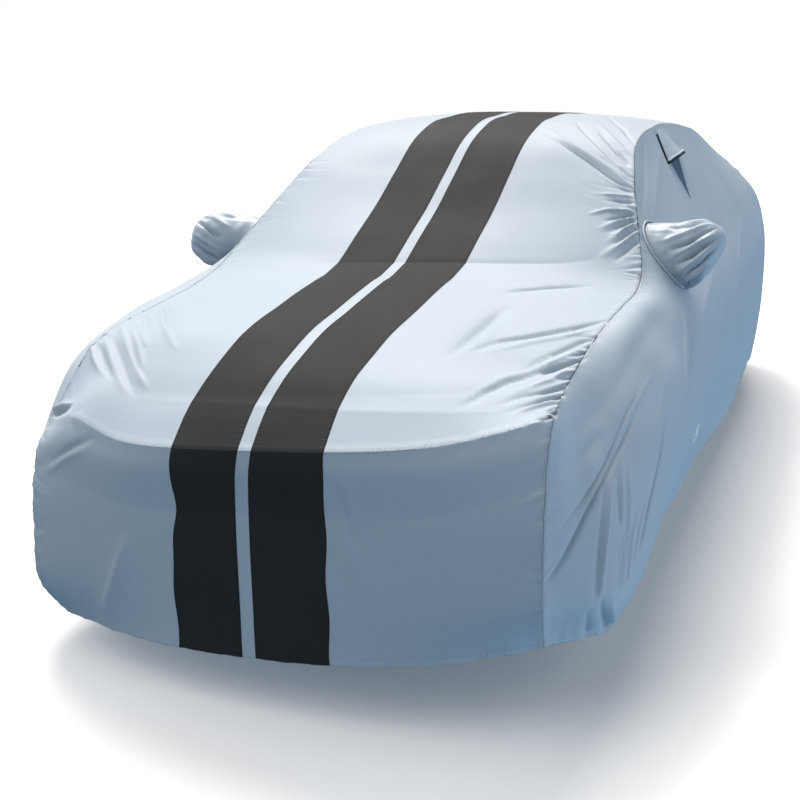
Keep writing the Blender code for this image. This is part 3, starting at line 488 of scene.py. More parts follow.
# How much a pleat's width, depth, reach, slant and the pitch after it vary.
VARY_WIDTH, VARY_DEPTH, VARY_REACH = (0.7, 1.4), (-1.0, 0.75), (0.5, 1.7)
VARY_SLANT, VARY_PITCH = (-0.35, 0.35), (0.6, 1.4)
# How far a pleat counts, in its reaches and widths, over how many reaches it doubles its width, and its end.
PLEAT_LONG, PLEAT_WIDE, PLEAT_OPENS, PLEAT_END = 2.6, 3, 3, 1.5
HEM_WAVES = (0.034, 0.047, 0.071, 0.113, 0.19)
VALLEY_DEPTH, VALLEY_WIDTH = 0.0016, 0.003


def fold_lift(points, rows):
    """How far the listed folds lift each point: a crest or trough that runs out softly."""
    lift = np.zeros(points.shape[:-1])
    for width, height, peak, line in rows:
        line, room = np.array(line), FOLD_REACH * width
        near = np.all((points > line.min(0) - room) & (points < line.max(0) + room), axis=-1)
        spot = points[near]
        best, share = np.full(len(spot), np.inf), np.zeros(len(spot))
        runs_of_line = np.diff(line, axis=0)
        pieces = np.linalg.norm(runs_of_line, axis=1)
        done = 0.0
        for start, run, piece in zip(line, runs_of_line, pieces):
            part = np.clip((spot - start) @ run / (run @ run), 0.0, 1.0)
            away = np.linalg.norm(spot - (start + part[:, None] * run), axis=1)
            closer = away < best
            best[closer] = away[closer]
            share[closer] = (done + part[closer] * piece) / pieces.sum()
            done += piece
        crest = np.exp(-FOLD_FALL * (np.sqrt((best / width) ** 2 + FOLD_ROUND**2) - FOLD_ROUND))
        rise = np.clip(np.minimum(share / peak, (1 - share) / max(1 - peak, FOLD_FAR)), 0.0, 1.0)
        lift[near] += height * (FOLD_ENDS + (1 - FOLD_ENDS) * np.sin(0.5 * math.pi * rise) ** FOLD_RISE) * crest
    return lift


def view_axes():
    """The camera's forward, right and up."""
    forward = np.array([-math.sin(YAW) * math.cos(PITCH), math.cos(YAW) * math.cos(PITCH), -math.sin(PITCH)])
    level = np.array([math.cos(YAW), math.sin(YAW), 0.0])
    right = math.cos(ROLL) * level + math.sin(ROLL) * np.cross(level, forward)
    return forward, right, np.cross(right, forward)


def placed_folds(grids):
    """All listed folds, those of the picture set on the surface in short steps."""
    points, faces, start = [], [], 0
    for grid in grids:
        coarse = grid[::3, ::2]
        points += coarse.reshape(-1, 3).tolist()
        faces += (quads(*coarse.shape[:2]) + start).tolist()
        start += coarse.shape[0] * coarse.shape[1]
    tree = BVHTree.FromPolygons(points, faces)
    forward, right, up = view_axes()
    folds = []
    for width, height, peak, *line in PHOTO_FOLDS:
        line = np.reshape(line, (-1, 2))
        places = []
        for place, run in zip(line, np.diff(line, axis=0)):
            steps = max(2, round(math.hypot(*run) / FOLD_STEP))
            places += [place + share * run for share in np.linspace(0.0, 1.0, steps, endpoint=False)]
        hits = []
        for u, v in places + [line[-1]]:
            towards = FOCAL * forward + (u - FRAME / 2) * right + (FRAME / 2 - v) * up
            hits.append(tree.ray_cast(Vector(EYE), Vector(towards / np.linalg.norm(towards)))[0])
        folds.append((width / 1000, height / 1000, peak, [tuple(hit) for hit in hits if hit is not None]))
    for width, height, peak, *line in PLACED_FOLDS:
        folds.append((width / 1000, height / 1000, peak, np.reshape(line, (-1, 3)) / 1000))
    return folds


def undulation(points, seed, height, longest=0.70):
    """Slow, uneven waves of cloth that isn't quite taut."""
    rng = np.random.default_rng(seed)
    lift = np.zeros(points.shape[:-1])
    for _ in range(WAVES):
        heading = rng.normal(size=3)
        heading /= np.linalg.norm(heading)
        length = rng.uniform(SHORTEST_WAVE, 1.0) * longest
        lift += length / longest * np.sin(points @ heading * 2 * math.pi / length + rng.uniform(0, TURN))
    return lift * height / 2.0


def gathers(place, away, rows, seed):
    """Short pleats that run out from a seam, each a little different."""
    rng = np.random.default_rng(seed)
    lift = np.zeros(place.shape)
    for *sizes, slant in rows:
        at, last, pitch, width, depth, reach = (size / 1000 for size in sizes)
        while at < last:
            own_width = width * rng.uniform(*VARY_WIDTH)
            own_depth = depth * rng.uniform(*VARY_DEPTH)
            own_reach = reach * rng.uniform(*VARY_REACH)
            own_slant = slant + rng.uniform(*VARY_SLANT)
            beside = place - at - own_slant * away
            near = (away < PLEAT_LONG * own_reach) & (np.abs(beside) < PLEAT_WIDE * own_width)
            out = away[near] / own_reach
            across = beside[near] / (own_width * (1 + out / PLEAT_OPENS))
            lift[near] += own_depth * np.exp(-(across**2) - out**PLEAT_END)
            at += pitch * rng.uniform(*VARY_PITCH)
    return lift


def ripples(place, away, seed, height, reach):
    """The wavy edge of a hem."""
    rng = np.random.default_rng(seed)
    wave = np.zeros(place.shape)
    for length in HEM_WAVES:
        wave += length**0.6 * np.sin(place * 2 * math.pi / length + rng.uniform(0, TURN))
    return wave * height / 0.5 * np.exp(-away / reach)


def valley(away):
    """The dip along a seam."""
    return -VALLEY_DEPTH * np.exp(-away / VALLEY_WIDTH)


# --- objects


def new_object(name, points, faces, material):
    mesh = bpy.data.meshes.new(name)
    mesh.from_pydata(points.tolist(), [], faces)
    mesh.validate()
    mesh.shade_smooth()
    mesh.materials.append(material)
    made = bpy.data.objects.new(name, mesh)
    bpy.context.scene.collection.objects.link(made)
    return made


def part_object(name, points, faces, look, *replaced):
    """A piece of the cover, and the solids' node that it replaces if there is one."""
    made = new_object(name, points - ORIGIN, faces, finishes[look])
    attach(made, "root")
    if replaced:
        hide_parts(*replaced)
    return made


def grid_object(name, grid, flip, look, replaced, hole=None, **marks):
    """A sheet from a grid. hole is a mask of the faces to leave out, marks are named vectors at its points."""
    faces = quads(*grid.shape[:2])
    if hole is not None:
        faces = faces[~hole.ravel()]
    used, faces = np.unique(faces, return_inverse=True)
    faces = faces.reshape(-1, 4)[:, ::flip].tolist()
    made = part_object(name, grid.reshape(-1, 3)[used], faces, look, replaced)
    for title, values in marks.items():
        store = made.data.attributes.new(title, "FLOAT_VECTOR", "POINT")
        store.data.foreach_set("vector", values.reshape(-1, 3)[used].astype(np.float32).ravel())
    return made


def mark(place, away):
    """Where each point lies along a seam and how far from it."""
    return np.stack(np.broadcast_arrays(place, away, 0.0), axis=-1)


def ring_faces(rings, sides, closed=False):
    """The faces between rings of points, one after another."""
    faces = []
    for k in range(rings if closed else rings - 1):
        a, b = k * sides, (k + 1) % rings * sides
        faces += [(a + i, a + (i + 1) % sides, b + (i + 1) % sides, b + i) for i in range(sides)]
    return faces


def tube_mesh(line, radius, sides=10, closed=False):
    """A round cord along a line of points, with one radius or one for each point."""
    line = np.asarray(line)
    if closed:
        heading = np.roll(line, -1, axis=0) - np.roll(line, 1, axis=0)
    else:
        heading = np.gradient(line, axis=0)
    heading /= np.linalg.norm(heading, axis=1, keepdims=True)
    side = np.cross(heading[0], (0.0, 0.0, 1.0))
    angle = np.linspace(0, 2 * math.pi, sides, endpoint=False)[:, None]
    rings = []
    for place, ahead, size in zip(line, heading, np.broadcast_to(radius, len(line))):
        side = side - ahead * (side @ ahead)
        side /= np.linalg.norm(side)
        rings.append(place + size * (np.cos(angle) * side + np.sin(angle) * np.cross(ahead, side)))
    faces = ring_faces(len(line), sides, closed)
    if not closed:
        faces += [tuple(reversed(range(sides))), tuple(range((len(line) - 1) * sides, len(line) * sides))]
    return np.concatenate(rings), faces


# --- finishes

# The stitches: their pitch, the thread's share of it and half its width.
STITCH_PITCH, STITCH_SHARE, STITCH_HALF = 0.0046, 0.68, 0.0007
# Where the flat band beside a seam ends beyond its last stitches, and where the painted shade of the crease at the
# seam fades.
BAND_END, CREASE_SHADE_END = (0.0010, 0.0022), (0.0008, 0.0026)
# Streaks of the puckers, along the seam and away from it, and how high each form beside a seam stands.
PUCKER_SCALE = (150.0, 9.0)
PUCKER_HEIGHT, BAND_HEIGHT, STITCH_HEIGHT = 0.0024, 0.0005, -0.0004


class Nodes:
    """A node tree with a short way to wire it."""

    def __init__(self, tree):
        self.tree = tree

    def add(self, kind, inputs=(), **settings):
        node = self.tree.nodes.new(kind)
        for key, value in settings.items():
            setattr(node, key, value)
        self.feed(node.inputs, dict(inputs))
        return node.outputs

    def feed(self, sockets, inputs):
        for place, value in inputs.items():
            if isinstance(value, bpy.types.NodeSocket):
                self.tree.links.new(value, sockets[place])
            else:
                sockets[place].default_value = value

    def math(self, operation, *values):
        return self.add("ShaderNodeMath", dict(enumerate(values)), operation=operation)[0]

    def times(self, value, factor):
        return self.math("MULTIPLY", value, factor)

    def plus(self, first, *others):
        for other in others:
            first = self.math("ADD", first, other)
        return first

    def ease(self, value, start, end, first=0.0, last=1.0):
        """first up to start, last beyond end, smooth between."""
        inputs = {"Value": value, "From Min": start, "From Max": end, "To Min": first, "To Max": last}
        return self.add("ShaderNodeMapRange", inputs, interpolation_type="SMOOTHSTEP")[0]

    def mix(self, share, first, second, blend="MIX"):
        return self.add("ShaderNodeMix", {0: share, 6: first, 7: second}, data_type="RGBA", blend_type=blend)[2]


class Finish(Nodes):
    """A material with one shader."""

    def __init__(self, name, roughness, metallic=0.0, specular=0.5):
        self.material = bpy.data.materials.new(name)
        self.material.use_nodes = True
        super().__init__(self.material.node_tree)
        self.give({"Roughness": roughness, "Metallic": metallic, "Specular IOR Level": specular})
        self.where = self.add("ShaderNodeTexCoord")["Object"]

    def give(self, inputs):
        """Sets or links inputs of the shader."""
        self.feed(self.tree.nodes["Principled BSDF"].inputs, inputs)

    def noise(self, scale, detail=2.0, vector=None):
        inputs = {"Vector": vector or self.where, "Scale": scale, "Detail": detail}
        return self.add("ShaderNodeTexNoise", inputs)["Fac"]

    def seam(self, title, rows, reach):
        """Height, stitches, band and the crease's painted shade beside a seam. rows are the distances of its stitch
        lines.
        """
        stored = self.add("ShaderNodeAttribute", attribute_name=title)["Vector"]
        place, away, _ = self.add("ShaderNodeSeparateXYZ", {0: stored})
        dash = self.math("LESS_THAN", self.math("FRACT", self.times(place, 1 / STITCH_PITCH)), STITCH_SHARE)
        line = self.plus(*(self.math("COMPARE", away, row, STITCH_HALF) for row in rows))
        stitches = self.times(dash, line)
        band = self.ease(away, rows[-1] + BAND_END[0], rows[-1] + BAND_END[1], 1.0, 0.0)
        streak = {0: self.times(place, PUCKER_SCALE[0]), 1: self.times(away, PUCKER_SCALE[1])}
        pucker = self.noise(1.0, 1.0, self.add("ShaderNodeCombineXYZ", streak)[0])
        pucker = self.times(pucker, self.ease(away, 0.0, reach, 1.0, 0.0))
        height = self.plus(
            self.times(pucker, PUCKER_HEIGHT), self.times(band, BAND_HEIGHT), self.times(stitches, STITCH_HEIGHT)
        )
        # the last value fades the crease's painted shade out from the seam
        return height, stitches, band, self.ease(away, *CREASE_SHADE_END, 1.0, 0.0)

    def finish(self, colour, height):
        bump = self.add("ShaderNodeBump", {"Height": height, "Distance": 1.0, "Strength": 1.0})
        self.give({"Base Color": colour, "Normal": bump[0]})
        return self.material


def shade(colour, by):
    return (*(min(1.0, c * by) for c in colour), 1.0)


def cloth_finish(name, colour, roughness, seams=(), crumple=0.0012, contrast=0.03, specular=0.12):
    """Cloth with an uneven tint and fine crumples, and with what its seams show, painted shade in their creases among
    it.
    """
    made = Finish(name, roughness, specular=specular)
    spread = made.plus(made.times(made.noise(2.5), 0.6), made.times(made.noise(70.0), 0.4))
    tint = made.mix(spread, shade(colour, 1 - contrast), shade(colour, 1 + contrast))
    layers = ((9.0, 3.0, crumple), (45.0, 2.0, crumple * 0.12), (900.0, 1.0, CLOTH_GRAIN))
    heights = [made.times(made.noise(scale, detail), height) for scale, detail, height in layers]
    for title, rows, reach, crease_shade_share in seams:
        height, stitches, band, crease_shade = made.seam(title, rows, reach)
        heights.append(height)
        # the crease's darkening is painted shade, standing in for the groove at the seam lying in shade
        for form, share, by in ((band, 0.25, 1.12), (stitches, 0.35, 0.45), (crease_shade, crease_shade_share, 0.15)):
            tint = made.mix(made.times(form, share), tint, shade(colour, by))
    made.give({"Roughness": made.plus(made.times(made.noise(6.0), 0.10), roughness - 0.05)})
    return made.finish(tint, made.plus(*heights))


def metal_finish():
    made = Finish("eyelet_metal", 0.30, metallic=1.0)
    tint = made.mix(made.noise(120.0), (0.70, 0.71, 0.72, 1.0), (0.80, 0.81, 0.82, 1.0))
    made.give({"Roughness": made.plus(made.times(made.noise(300.0), 0.15), 0.22)})
    return made.finish(tint, made.times(made.noise(500.0), 0.00004))


CLOTH_COLOUR, CLOTH_GRAIN = (0.370, 0.425, 0.480), 0.00003
# Columns: the mark, its stitch lines' distances, how far the cloth puckers, how strong the painted shade in its
# crease is.
SEAM_MARKS = (("seam_one", (0.0018, 0.0062), 0.032, 0.7), ("seam_two", (0.0026,), 0.030, 0.0))
HEM_MARK = (("hem_line", (0.0185,), 0.050, 0.0),)
STRIPE_MARK = (("seam_one", (0.004,), 0.030, 0.0),)
PATCH_MARK = (("seam_one", (0.004,), 0.02, 0.0),)
STRIP_MARK = (("seam_one", (0.004, 0.008), 0.02, 0.5),)

finishes = {
    "cloth": cloth_finish("cover_cloth", CLOTH_COLOUR, 0.50, SEAM_MARKS + HEM_MARK),
    "pocket": cloth_finish("pocket_cloth", CLOTH_COLOUR, 0.34, SEAM_MARKS[:1], 0.0020),
    "hood": cloth_finish("hood_cloth", (0.390, 0.445, 0.500), 0.45, (), 0.0010),
    "piping": cloth_finish("piping", (0.50, 0.55, 0.60), 0.50, (), 0.0002),
    "stripe": cloth_finish(
        "stripe_cloth", (0.0265, 0.0275, 0.0285), 0.60, STRIPE_MARK, contrast=0.12, specular=0.04
    ),
    # The patch below each vent hood is a sewn sheet whose dark blue is painted shade from the hood above it.
    "patch": cloth_finish("patch_cloth", (0.085, 0.125, 0.180), 0.65, PATCH_MARK, 0.0004),
    "binding": cloth_finish("binding", (0.012, 0.012, 0.014), 0.60, (), 0.0003, 0.2),
    "metal": metal_finish(),
    # The strip round each eyelet is a real cloth strip, lightened past the cloth's own colour as a painted highlight
    # for the glint there.
    "strip": cloth_finish("strip_cloth_painted_glint", (0.66, 0.69, 0.72), 0.50, STRIP_MARK, 0.0004),
}

# --- panels

SIDES = {"left": 1, "right": -1}
# Which way round each panel's grid faces out.
FLIPS = {"top": -1, "front": 1, "rear": -1, "left": -1, "right": 1}
# Slack waves everywhere and on the doors, then the hem's waves at the ends and on the sides: seed and height, then
# the longest wave or the reach.
SLACK, DOOR_SLACK, END_HEM, SIDE_HEM = (3, 0.0014), (5, 0.0030, 0.9), (31, 0.0016, 0.05), (32, 0.0020, 0.06)
# How far down the side and back from the front corner the doors' waves grow to their full height.
DOORS_DOWN, DOORS_BACK = 0.4, 0.5
# How far the hem's turned-in part lies inside at its fold and at its edge, and its width in rows.
HEM_FOLD, HEM_EDGE, HEM_ROWS = 0.0026, 0.0034, 3


def ramp(value, row):
    """0 up to a place and 1 a length beyond it, smooth between."""
    return smoothstep((value - row[0]) / row[1])


def plain_grids():
    """The five panels without their folds, with the proud cross seam, slipped stripes and sagging wing."""
    grids = {
        "top": top_grid(), "front": end_grid(FRONT, 0), "rear": end_grid(REAR, -1),
        "left": side_grid(1), "right": side_grid(-1),
    }
    for name in ("top", "front", "left", "right"):
        away = lengths(grids[name], 0)
        if name in SIDES:
            away = np.hypot(away, lengths(grids[name], 1))
        towards = np.array(EYE) - grids[name]
        towards /= np.linalg.norm(towards, axis=-1, keepdims=True)
        grids[name] += (LIP * np.maximum(1 - away / LIP_REACH, 0.0) ** LIP_POWER)[..., None] * towards
    front = grids["front"]
    down = lengths(front, 0)
    bulge = SLIP_RIGHT[0] * np.exp(-(((down - SLIP_RIGHT[1]) / SLIP_RIGHT[2]) ** 2))
    for side, slip in ((-1, bulge), (1, SLIP_LEFT[0] * smoothstep(down / SLIP_LEFT[1]))):
        beside = np.exp(-(((front[..., 0] - side * STRIPE_OUTER) / SLIP_BESIDE) ** 2))
        wave = SLIP_WAVE * np.sin(SLIP_TURNS * down + side)
        front[..., 0] += beside * smoothstep(down / SLIP_DOWN) * (slip + wave)
    wing = grids["left"]
    down, run = lengths(wing, 1), lengths(wing, 0)
    sag = ramp(down, SAG_STARTS) * (1 - ramp(down, SAG_FADES))
    sag *= ramp(run, SAG_BACK) * (1 - ramp(wing[..., 1], SAG_ENDS))
    wing -= (WING_SAG * sag)[..., None] * normals_of([wing], [FLIPS["left"]])[0]
    return grids


def seam_marks(*rows):
    """The panel's three marks, each from places along a seam and distances from it."""
    return dict(zip(("seam_one", "seam_two", "hem_line"), (mark(*row) for row in rows)))


def build_panels():
    """The grid of each panel with all its folds, and the marks of its seams."""
    grids, marks = plain_grids(), {}
    folds = placed_folds([grids[name] for name in ("top", "front", "left", "right")])
    outward = normals_of(grids.values(), FLIPS.values())
    lift = {name: fold_lift(grid, folds) + undulation(grid, *SLACK) for name, grid in grids.items()}
    seam_run = lengths(along(SEAM, STATIONS), 0)[:, None]

    x = grids["top"][..., 0]
    right_away, down = lengths(grids["top"], 1), lengths(grids["top"], 0)
    left_away, up = right_away[:, -1:] - right_away, down[-1:] - down
    place = np.broadcast_to(seam_run, x.shape)
    lift["top"] += np.where(x > 0, gathers(place, left_away, LEFT_TOP_GATHERS, 11), 0.0)
    lift["top"] += np.where(x > 0, 0.0, gathers(place, right_away, RIGHT_TOP_GATHERS, 12))
    lift["top"] += gathers(x, down, CROSS_GATHERS, 13)
    lift["top"] += gathers(x, up, CROSS_GATHERS, 14)
    side_away, no_hem = np.minimum(left_away, right_away), np.ones_like(x)
    marks["top"] = seam_marks((place, side_away), (x, np.minimum(down, up)), (0.0, no_hem))

    for name, seed, left_seed, right_seed in (("front", 13, 21, 22), ("rear", 14, 23, 24)):
        x, down, from_right = grids[name][..., 0], lengths(grids[name], 0), lengths(grids[name], 1)
        from_left, hem = from_right[:, -1:] - from_right, down[-1:] - down
        lift[name] += gathers(x, down, CROSS_GATHERS, seed)
        lift[name] += gathers(down, from_left, CORNER_GATHERS, left_seed)
        lift[name] += gathers(down, from_right, CORNER_GATHERS, right_seed)
        lift[name] += ripples(x, hem, *END_HEM)
        marks[name] = seam_marks((down, np.minimum(from_left, from_right)), (x, down), (x, hem))

    for name, seed, front_seed, rear_seed in (("left", 41, 21, 23), ("right", 42, 22, 24)):
        down, run = lengths(grids[name], 1), lengths(grids[name], 0)
        hem, back = down[:, -1:] - down, run[-1:] - run
        place, hem_run = np.broadcast_to(seam_run, run.shape), np.broadcast_to(run[:, -1:], run.shape)
        doors = smoothstep(down / DOORS_DOWN) * smoothstep(run / DOORS_BACK)
        lift[name] += undulation(grids[name], *DOOR_SLACK) * doors
        lift[name] += gathers(place, down, SIDE_GATHERS, seed)
        lift[name] += gathers(down, run, CORNER_GATHERS, front_seed)
        lift[name] += gathers(down, back, CORNER_GATHERS, rear_seed)
        lift[name] += ripples(hem_run, hem, *SIDE_HEM)
        marks[name] = seam_marks((place, down), (down, np.minimum(run, back)), (hem_run, hem))

    for (name, grid), normal in zip(grids.items(), outward):
        for seam in ("seam_one", "seam_two"):
            lift[name] += valley(marks[name][seam][..., 1])
        grids[name] = grid + lift[name][..., None] * normal
    return grids, marks


def drawn_in(grid):
    """The grid with its border moved inwards along the cloth, for the gap at the seams."""
    drawn = grid.copy()
    for border, inner in ((0, 1), (-1, -2)):
        for source, target in ((grid, drawn), (grid.swapaxes(0, 1), drawn.swapaxes(0, 1))):
            step = source[inner] - source[border]
            target[border] += 0.6 * SEW_GAP * step / np.linalg.norm(step, axis=-1, keepdims=True)
    return drawn


def turned_hem(grid, normals, marks, axis):
    """Adds the part of the hem that is folded up inside: two more rows, or columns where axis is 1."""
    edge = -1 - HEM_ROWS

    def line(values, i):
        return np.take(values, [i], axis)

    fold = line(grid, -1) - HEM_FOLD * line(normals, -1)
    inner = line(grid, edge) - HEM_EDGE * line(normals, edge)
    longer = {key: np.concatenate([value, line(value, -1), line(value, edge)], axis) for key, value in marks.items()}
    return np.concatenate([grid, fold, inner], axis), longer


moved, marks = build_panels()
normals = dict(zip(moved, normals_of(moved.values(), FLIPS.values())))

# --- mirror pockets

# The neck's outline. Columns: y, z, half its depth and half its height.
POCKET_NECK = (0.840, 1.020, 0.098, 0.100)
# Sections beyond the neck. Columns: x, then as for the neck.
POCKET_ROWS = {
    "left": (
        (0.870, 0.815, 1.030, 0.100, 0.100),
        (0.915, 0.800, 1.045, 0.092, 0.086),
        (0.948, 0.798, 1.062, 0.070, 0.060),
        (0.968, 0.800, 1.074, 0.038, 0.032),
    ),
    "right": (
        (0.885, 0.815, 1.030, 0.104, 0.104),
        (0.950, 0.800, 1.045, 0.102, 0.096),
        (0.992, 0.795, 1.050, 0.084, 0.076),
        (1.015, 0.795, 1.054, 0.045, 0.040),
    ),
}
# How strong the soft ridges are at each section, their number, height and twist on the way out.
POCKET_TURNS = (0.6, 1.0, 0.7, 0.3)
POCKET_RIDGES, POCKET_RIDGE, POCKET_TWIST = 5, 0.042, 9
POCKET_TIP, POCKET_TUCK, POCKET_SLOT, POCKET_RAKE = 0.007, 0.006, 0.012, 0.25
# Points round the pocket and rows along it.
POCKET_AROUND, POCKET_LONG = 120, 76
# The way round the neck and from the neck to the tip, and how far beyond the tuck its seam lies. Then the neck's
# gathers, and where folds and gathers set in and are full.
POCKET_GIRTH, POCKET_LENGTH, POCKET_SEAM = 0.62, 0.2, 0.004
POCKET_GATHERS = ((0, 620, 22, 6, 3, 50, 0.0),)
POCKET_START = (0.06, 0.12)
# How near the neck the panel's points move onto its outline, grown by a little, and where its piping runs.
NECK_NEAR, NECK_GROW = 0.0052, 0.0006
PIPING_BESIDE, PIPING_OUT, PIPING_RADIUS, PIPING_POINTS = 0.0042, 0.0036, 0.0032, 96
# Folds of the pockets. Columns: start share of the way to the tip, start angle in degrees (0 at the back, 90
# on top, 180 in front), end share, end angle, width and height in millimetres.
POCKET_FOLDS = {
    "left": (
        (0.16, 150, 0.7, 108, 7, 14),
        (0.2, 166, 0.72, 124, 6, -21),
        (0.2, 178, 0.74, 140, 6, 11),
        (0.22, 192, 0.76, 156, 6, -21),
        (0.26, 204, 0.74, 172, 6, 11),
        (0.3, 218, 0.76, 188, 6, -18),
        (0.22, 120, 0.6, 80, 8, -13),
        (0.26, 100, 0.66, 60, 9, 9),
        (0.24, 240, 0.7, 202, 7, 11),
        (0.22, 258, 0.66, 222, 7, -18),
        (0.25, 286, 0.6, 250, 9, 11),
        (0.25, 330, 0.6, 352, 10, -9),
        (0.25, 20, 0.6, 42, 10, 7),
    ),
    "right": (
        (0.22, 140, 0.7, 100, 8, 10),
        (0.26, 165, 0.7, 130, 8, -18),
        (0.24, 190, 0.66, 165, 7, 10),
        (0.24, 215, 0.66, 190, 8, -18),
        (0.24, 240, 0.66, 215, 8, 10),
        (0.24, 270, 0.66, 245, 8, -13),
        (0.22, 112, 0.6, 76, 8, -12),
        (0.25, 20, 0.6, 42, 10, 7),
        (0.25, 330, 0.6, 352, 10, -9),
    ),
}


def neck_line(angle, grow=0.0):
    """y and z of the neck's outline at an angle, grown outwards."""
    y, z, half_depth, half_height = POCKET_NECK
    rake = POCKET_RAKE * half_height * np.sin(angle)
    return y + (half_depth + grow) * np.cos(angle) + rake, z + (half_height + grow) * np.sin(angle)


def neck_polar(y, z):
    """How far out a place lies, as a share of the way to the neck's outline, and its angle."""
    middle_y, middle_z, half_depth, half_height = POCKET_NECK
    up = (z - middle_z) / half_height
    back = (y - middle_y - POCKET_RAKE * (z - middle_z)) / half_depth
    return np.hypot(back, up), np.arctan2(up, back)


trees = {
    name: BVHTree.FromPolygons(moved[name].reshape(-1, 3).tolist(), quads(*moved[name].shape[:2]).tolist())
    for name in SIDES
}


def on_side(name, y, z):
    """Where a level line from outside meets the side panel, with the direction out of it."""
    side = SIDES[name]
    point, normal, _, _ = trees[name].ray_cast(Vector((side * 2.0, y, z)), Vector((-side, 0.0, 0.0)))
    normal = np.array(normal)
    return np.array(point), normal * math.copysign(1.0, normal[0] * side)


def corners(grid):
    """Each face's four corners."""
    return grid[:-1, :-1], grid[1:, :-1], grid[1:, 1:], grid[:-1, 1:]


def snap_to_neck(name):
    """Moves the panel's points near a pocket's neck onto its outline and marks the faces inside it."""
    grid = moved[name]
    share, angle = neck_polar(grid[..., 1], grid[..., 2])
    high = grid[..., 0] * SIDES[name] > 0.5
    near = high & (np.abs(share - 1.0) * POCKET_NECK[2] < NECK_NEAR)
    new_y, new_z = neck_line(angle, NECK_GROW)
    for spot in zip(*np.nonzero(near)):
        grid[spot] = on_side(name, new_y[spot], new_z[spot])[0]
    inner = high & (share < 1.0) & ~near
    return np.any(corners(inner), axis=0) | np.all(corners(near), axis=0) & (share[:-1, :-1] < 1.0)


def pocket_grid(name):
    """The pocket's surface, rows from the neck to the tip and columns round it, and its rows' shares of the way."""
    side = SIDES[name]
    angle = np.linspace(0.0, 2 * math.pi, POCKET_AROUND + 1)
    neck_y, neck_z = neck_line(angle)
    neck_x = np.array([on_side(name, y, z)[0][0] * side for y, z in zip(neck_y, neck_z)])
    sections = [np.stack([neck_x + reach, neck_y, neck_z], axis=-1) for reach in (-POCKET_TUCK, POCKET_SLOT)]
    for (x, y, z, half_depth, half_height), turn in zip(POCKET_ROWS[name], POCKET_TURNS):
        rake = POCKET_RAKE * half_height * np.sin(angle)
        ridge = 1 + POCKET_RIDGE * turn * np.sin(POCKET_RIDGES * angle + side + x * POCKET_TWIST)
        round_y = y + (half_depth * np.cos(angle) + rake) * ridge
        sections.append(np.stack([np.full_like(angle, x), round_y, z + half_height * np.sin(angle) * ridge], axis=-1))
    last, tip = sections[-1], np.array([POCKET_TIP, 0.0, 0.0])
    middle = last[:-1].mean(axis=0)
    sections += [middle + 0.45 * (last - middle) + 0.75 * tip, np.repeat((middle + tip)[None], len(angle), axis=0)]
    stack = np.stack(sections)
    knots = np.concatenate([[0.0], np.cumsum(np.linalg.norm(np.diff(stack, axis=0), axis=-1).mean(axis=1))])
    fine = np.linspace(0.0, knots[-1], POCKET_LONG)
    grid = along(np.concatenate([knots[:, None], stack.reshape(len(knots), -1)], axis=1), fine)
    return grid.reshape(len(fine), len(angle), 3) * np.array([side, 1.0, 1.0]), fine / knots[-1]


def pocket_lift(grid, shares, rows, seed):
    """How far a pocket's folds, waves and gathers lift its cloth."""
    angle = np.linspace(0.0, 360.0, grid.shape[1])

    def nearest(value, values):
        return np.interp(value, values, np.arange(len(values)))

    lines = []
    for start, start_angle, end, end_angle, width, height in rows:
        points = []
        for t in np.linspace(0.0, 1.0, 7):
            turn = (start_angle + (end_angle - start_angle) * t) % 360.0
            points.append(grid[int(nearest(start + (end - start) * t, shares)), int(round(nearest(turn, angle)))])
        lines.append((width / 1000, height / 1000, 0.5, points))
    lift = fold_lift(grid, lines) + undulation(grid, seed, 0.0016, 0.10)
    place, away = np.broadcast_arrays(angle / 360.0 * POCKET_GIRTH, shares[:, None] * POCKET_LENGTH)
    return (lift + gathers(place, away, POCKET_GATHERS, seed)) * ramp(shares, POCKET_START)[:, None]


def add_pocket(name):
    side = SIDES[name]
    grid, shares = pocket_grid(name)
    lift = pocket_lift(grid, shares, POCKET_FOLDS[name], 41 + side)
    lift[:, -1] = lift[:, 0]
    grid = grid + lift[..., None] * normals_of([grid], [-side])[0]
    away = np.maximum(lengths(grid, 0) - POCKET_TUCK - POCKET_SEAM, 0.0)
    pocket = grid_object(
        f"pocket_{name}", grid, -side, "pocket", f"mirror_pocket_{name}", seam_one=mark(lengths(grid, 1), away)
    )
    angle = np.linspace(0.0, 2 * math.pi, PIPING_POINTS, endpoint=False)
    beside = [on_side(name, y, z) for y, z in zip(*neck_line(angle, PIPING_BESIDE))]
    line = [point + PIPING_OUT * out for point, out in beside]
    return pocket, part_object(f"pocket_piping_{name}", *tube_mesh(line, PIPING_RADIUS, 8, True), "piping")


# --- air vents

# Front and back corners of the hood's top and mouth, then of the patch, which runs to a tip. Each is y and z.
VENT_CORNERS = ((1.575, 1.427), (1.745, 1.434), (1.490, 1.302), (1.765, 1.325))
PATCH_CORNERS = ((1.545, 1.319), (1.745, 1.331), (1.550, 1.162), (1.550, 1.162))
VENT_X = 0.64
# How high the hood stands at its mouth, how deep its pleats are, and its cloth's own height.
VENT_PEAK, VENT_PLEAT, VENT_CLOTH = 0.040, 0.0065, 0.0012
# The patch's height at its edge, how much it rises from there and within what distance, and its width and length.
PATCH_EDGE, PATCH_RISE, PATCH_ROUND, PATCH_WIDE, PATCH_LONG = 0.0003, 0.0013, 0.003, 0.2, 0.17
# The binding down the hood's front and along its mouth, and the rolled band inside the mouth: how far each lies
# over the cloth, and its radius. The binding starts some rows down.
BINDING_OVER, BINDING_RADII, BINDING_START = (0.0020, 0.0010), (0.0036, 0.0052), 6
BAND_OVER, BAND_RADIUS, BAND_ROW = 0.0040, 0.0042, -3


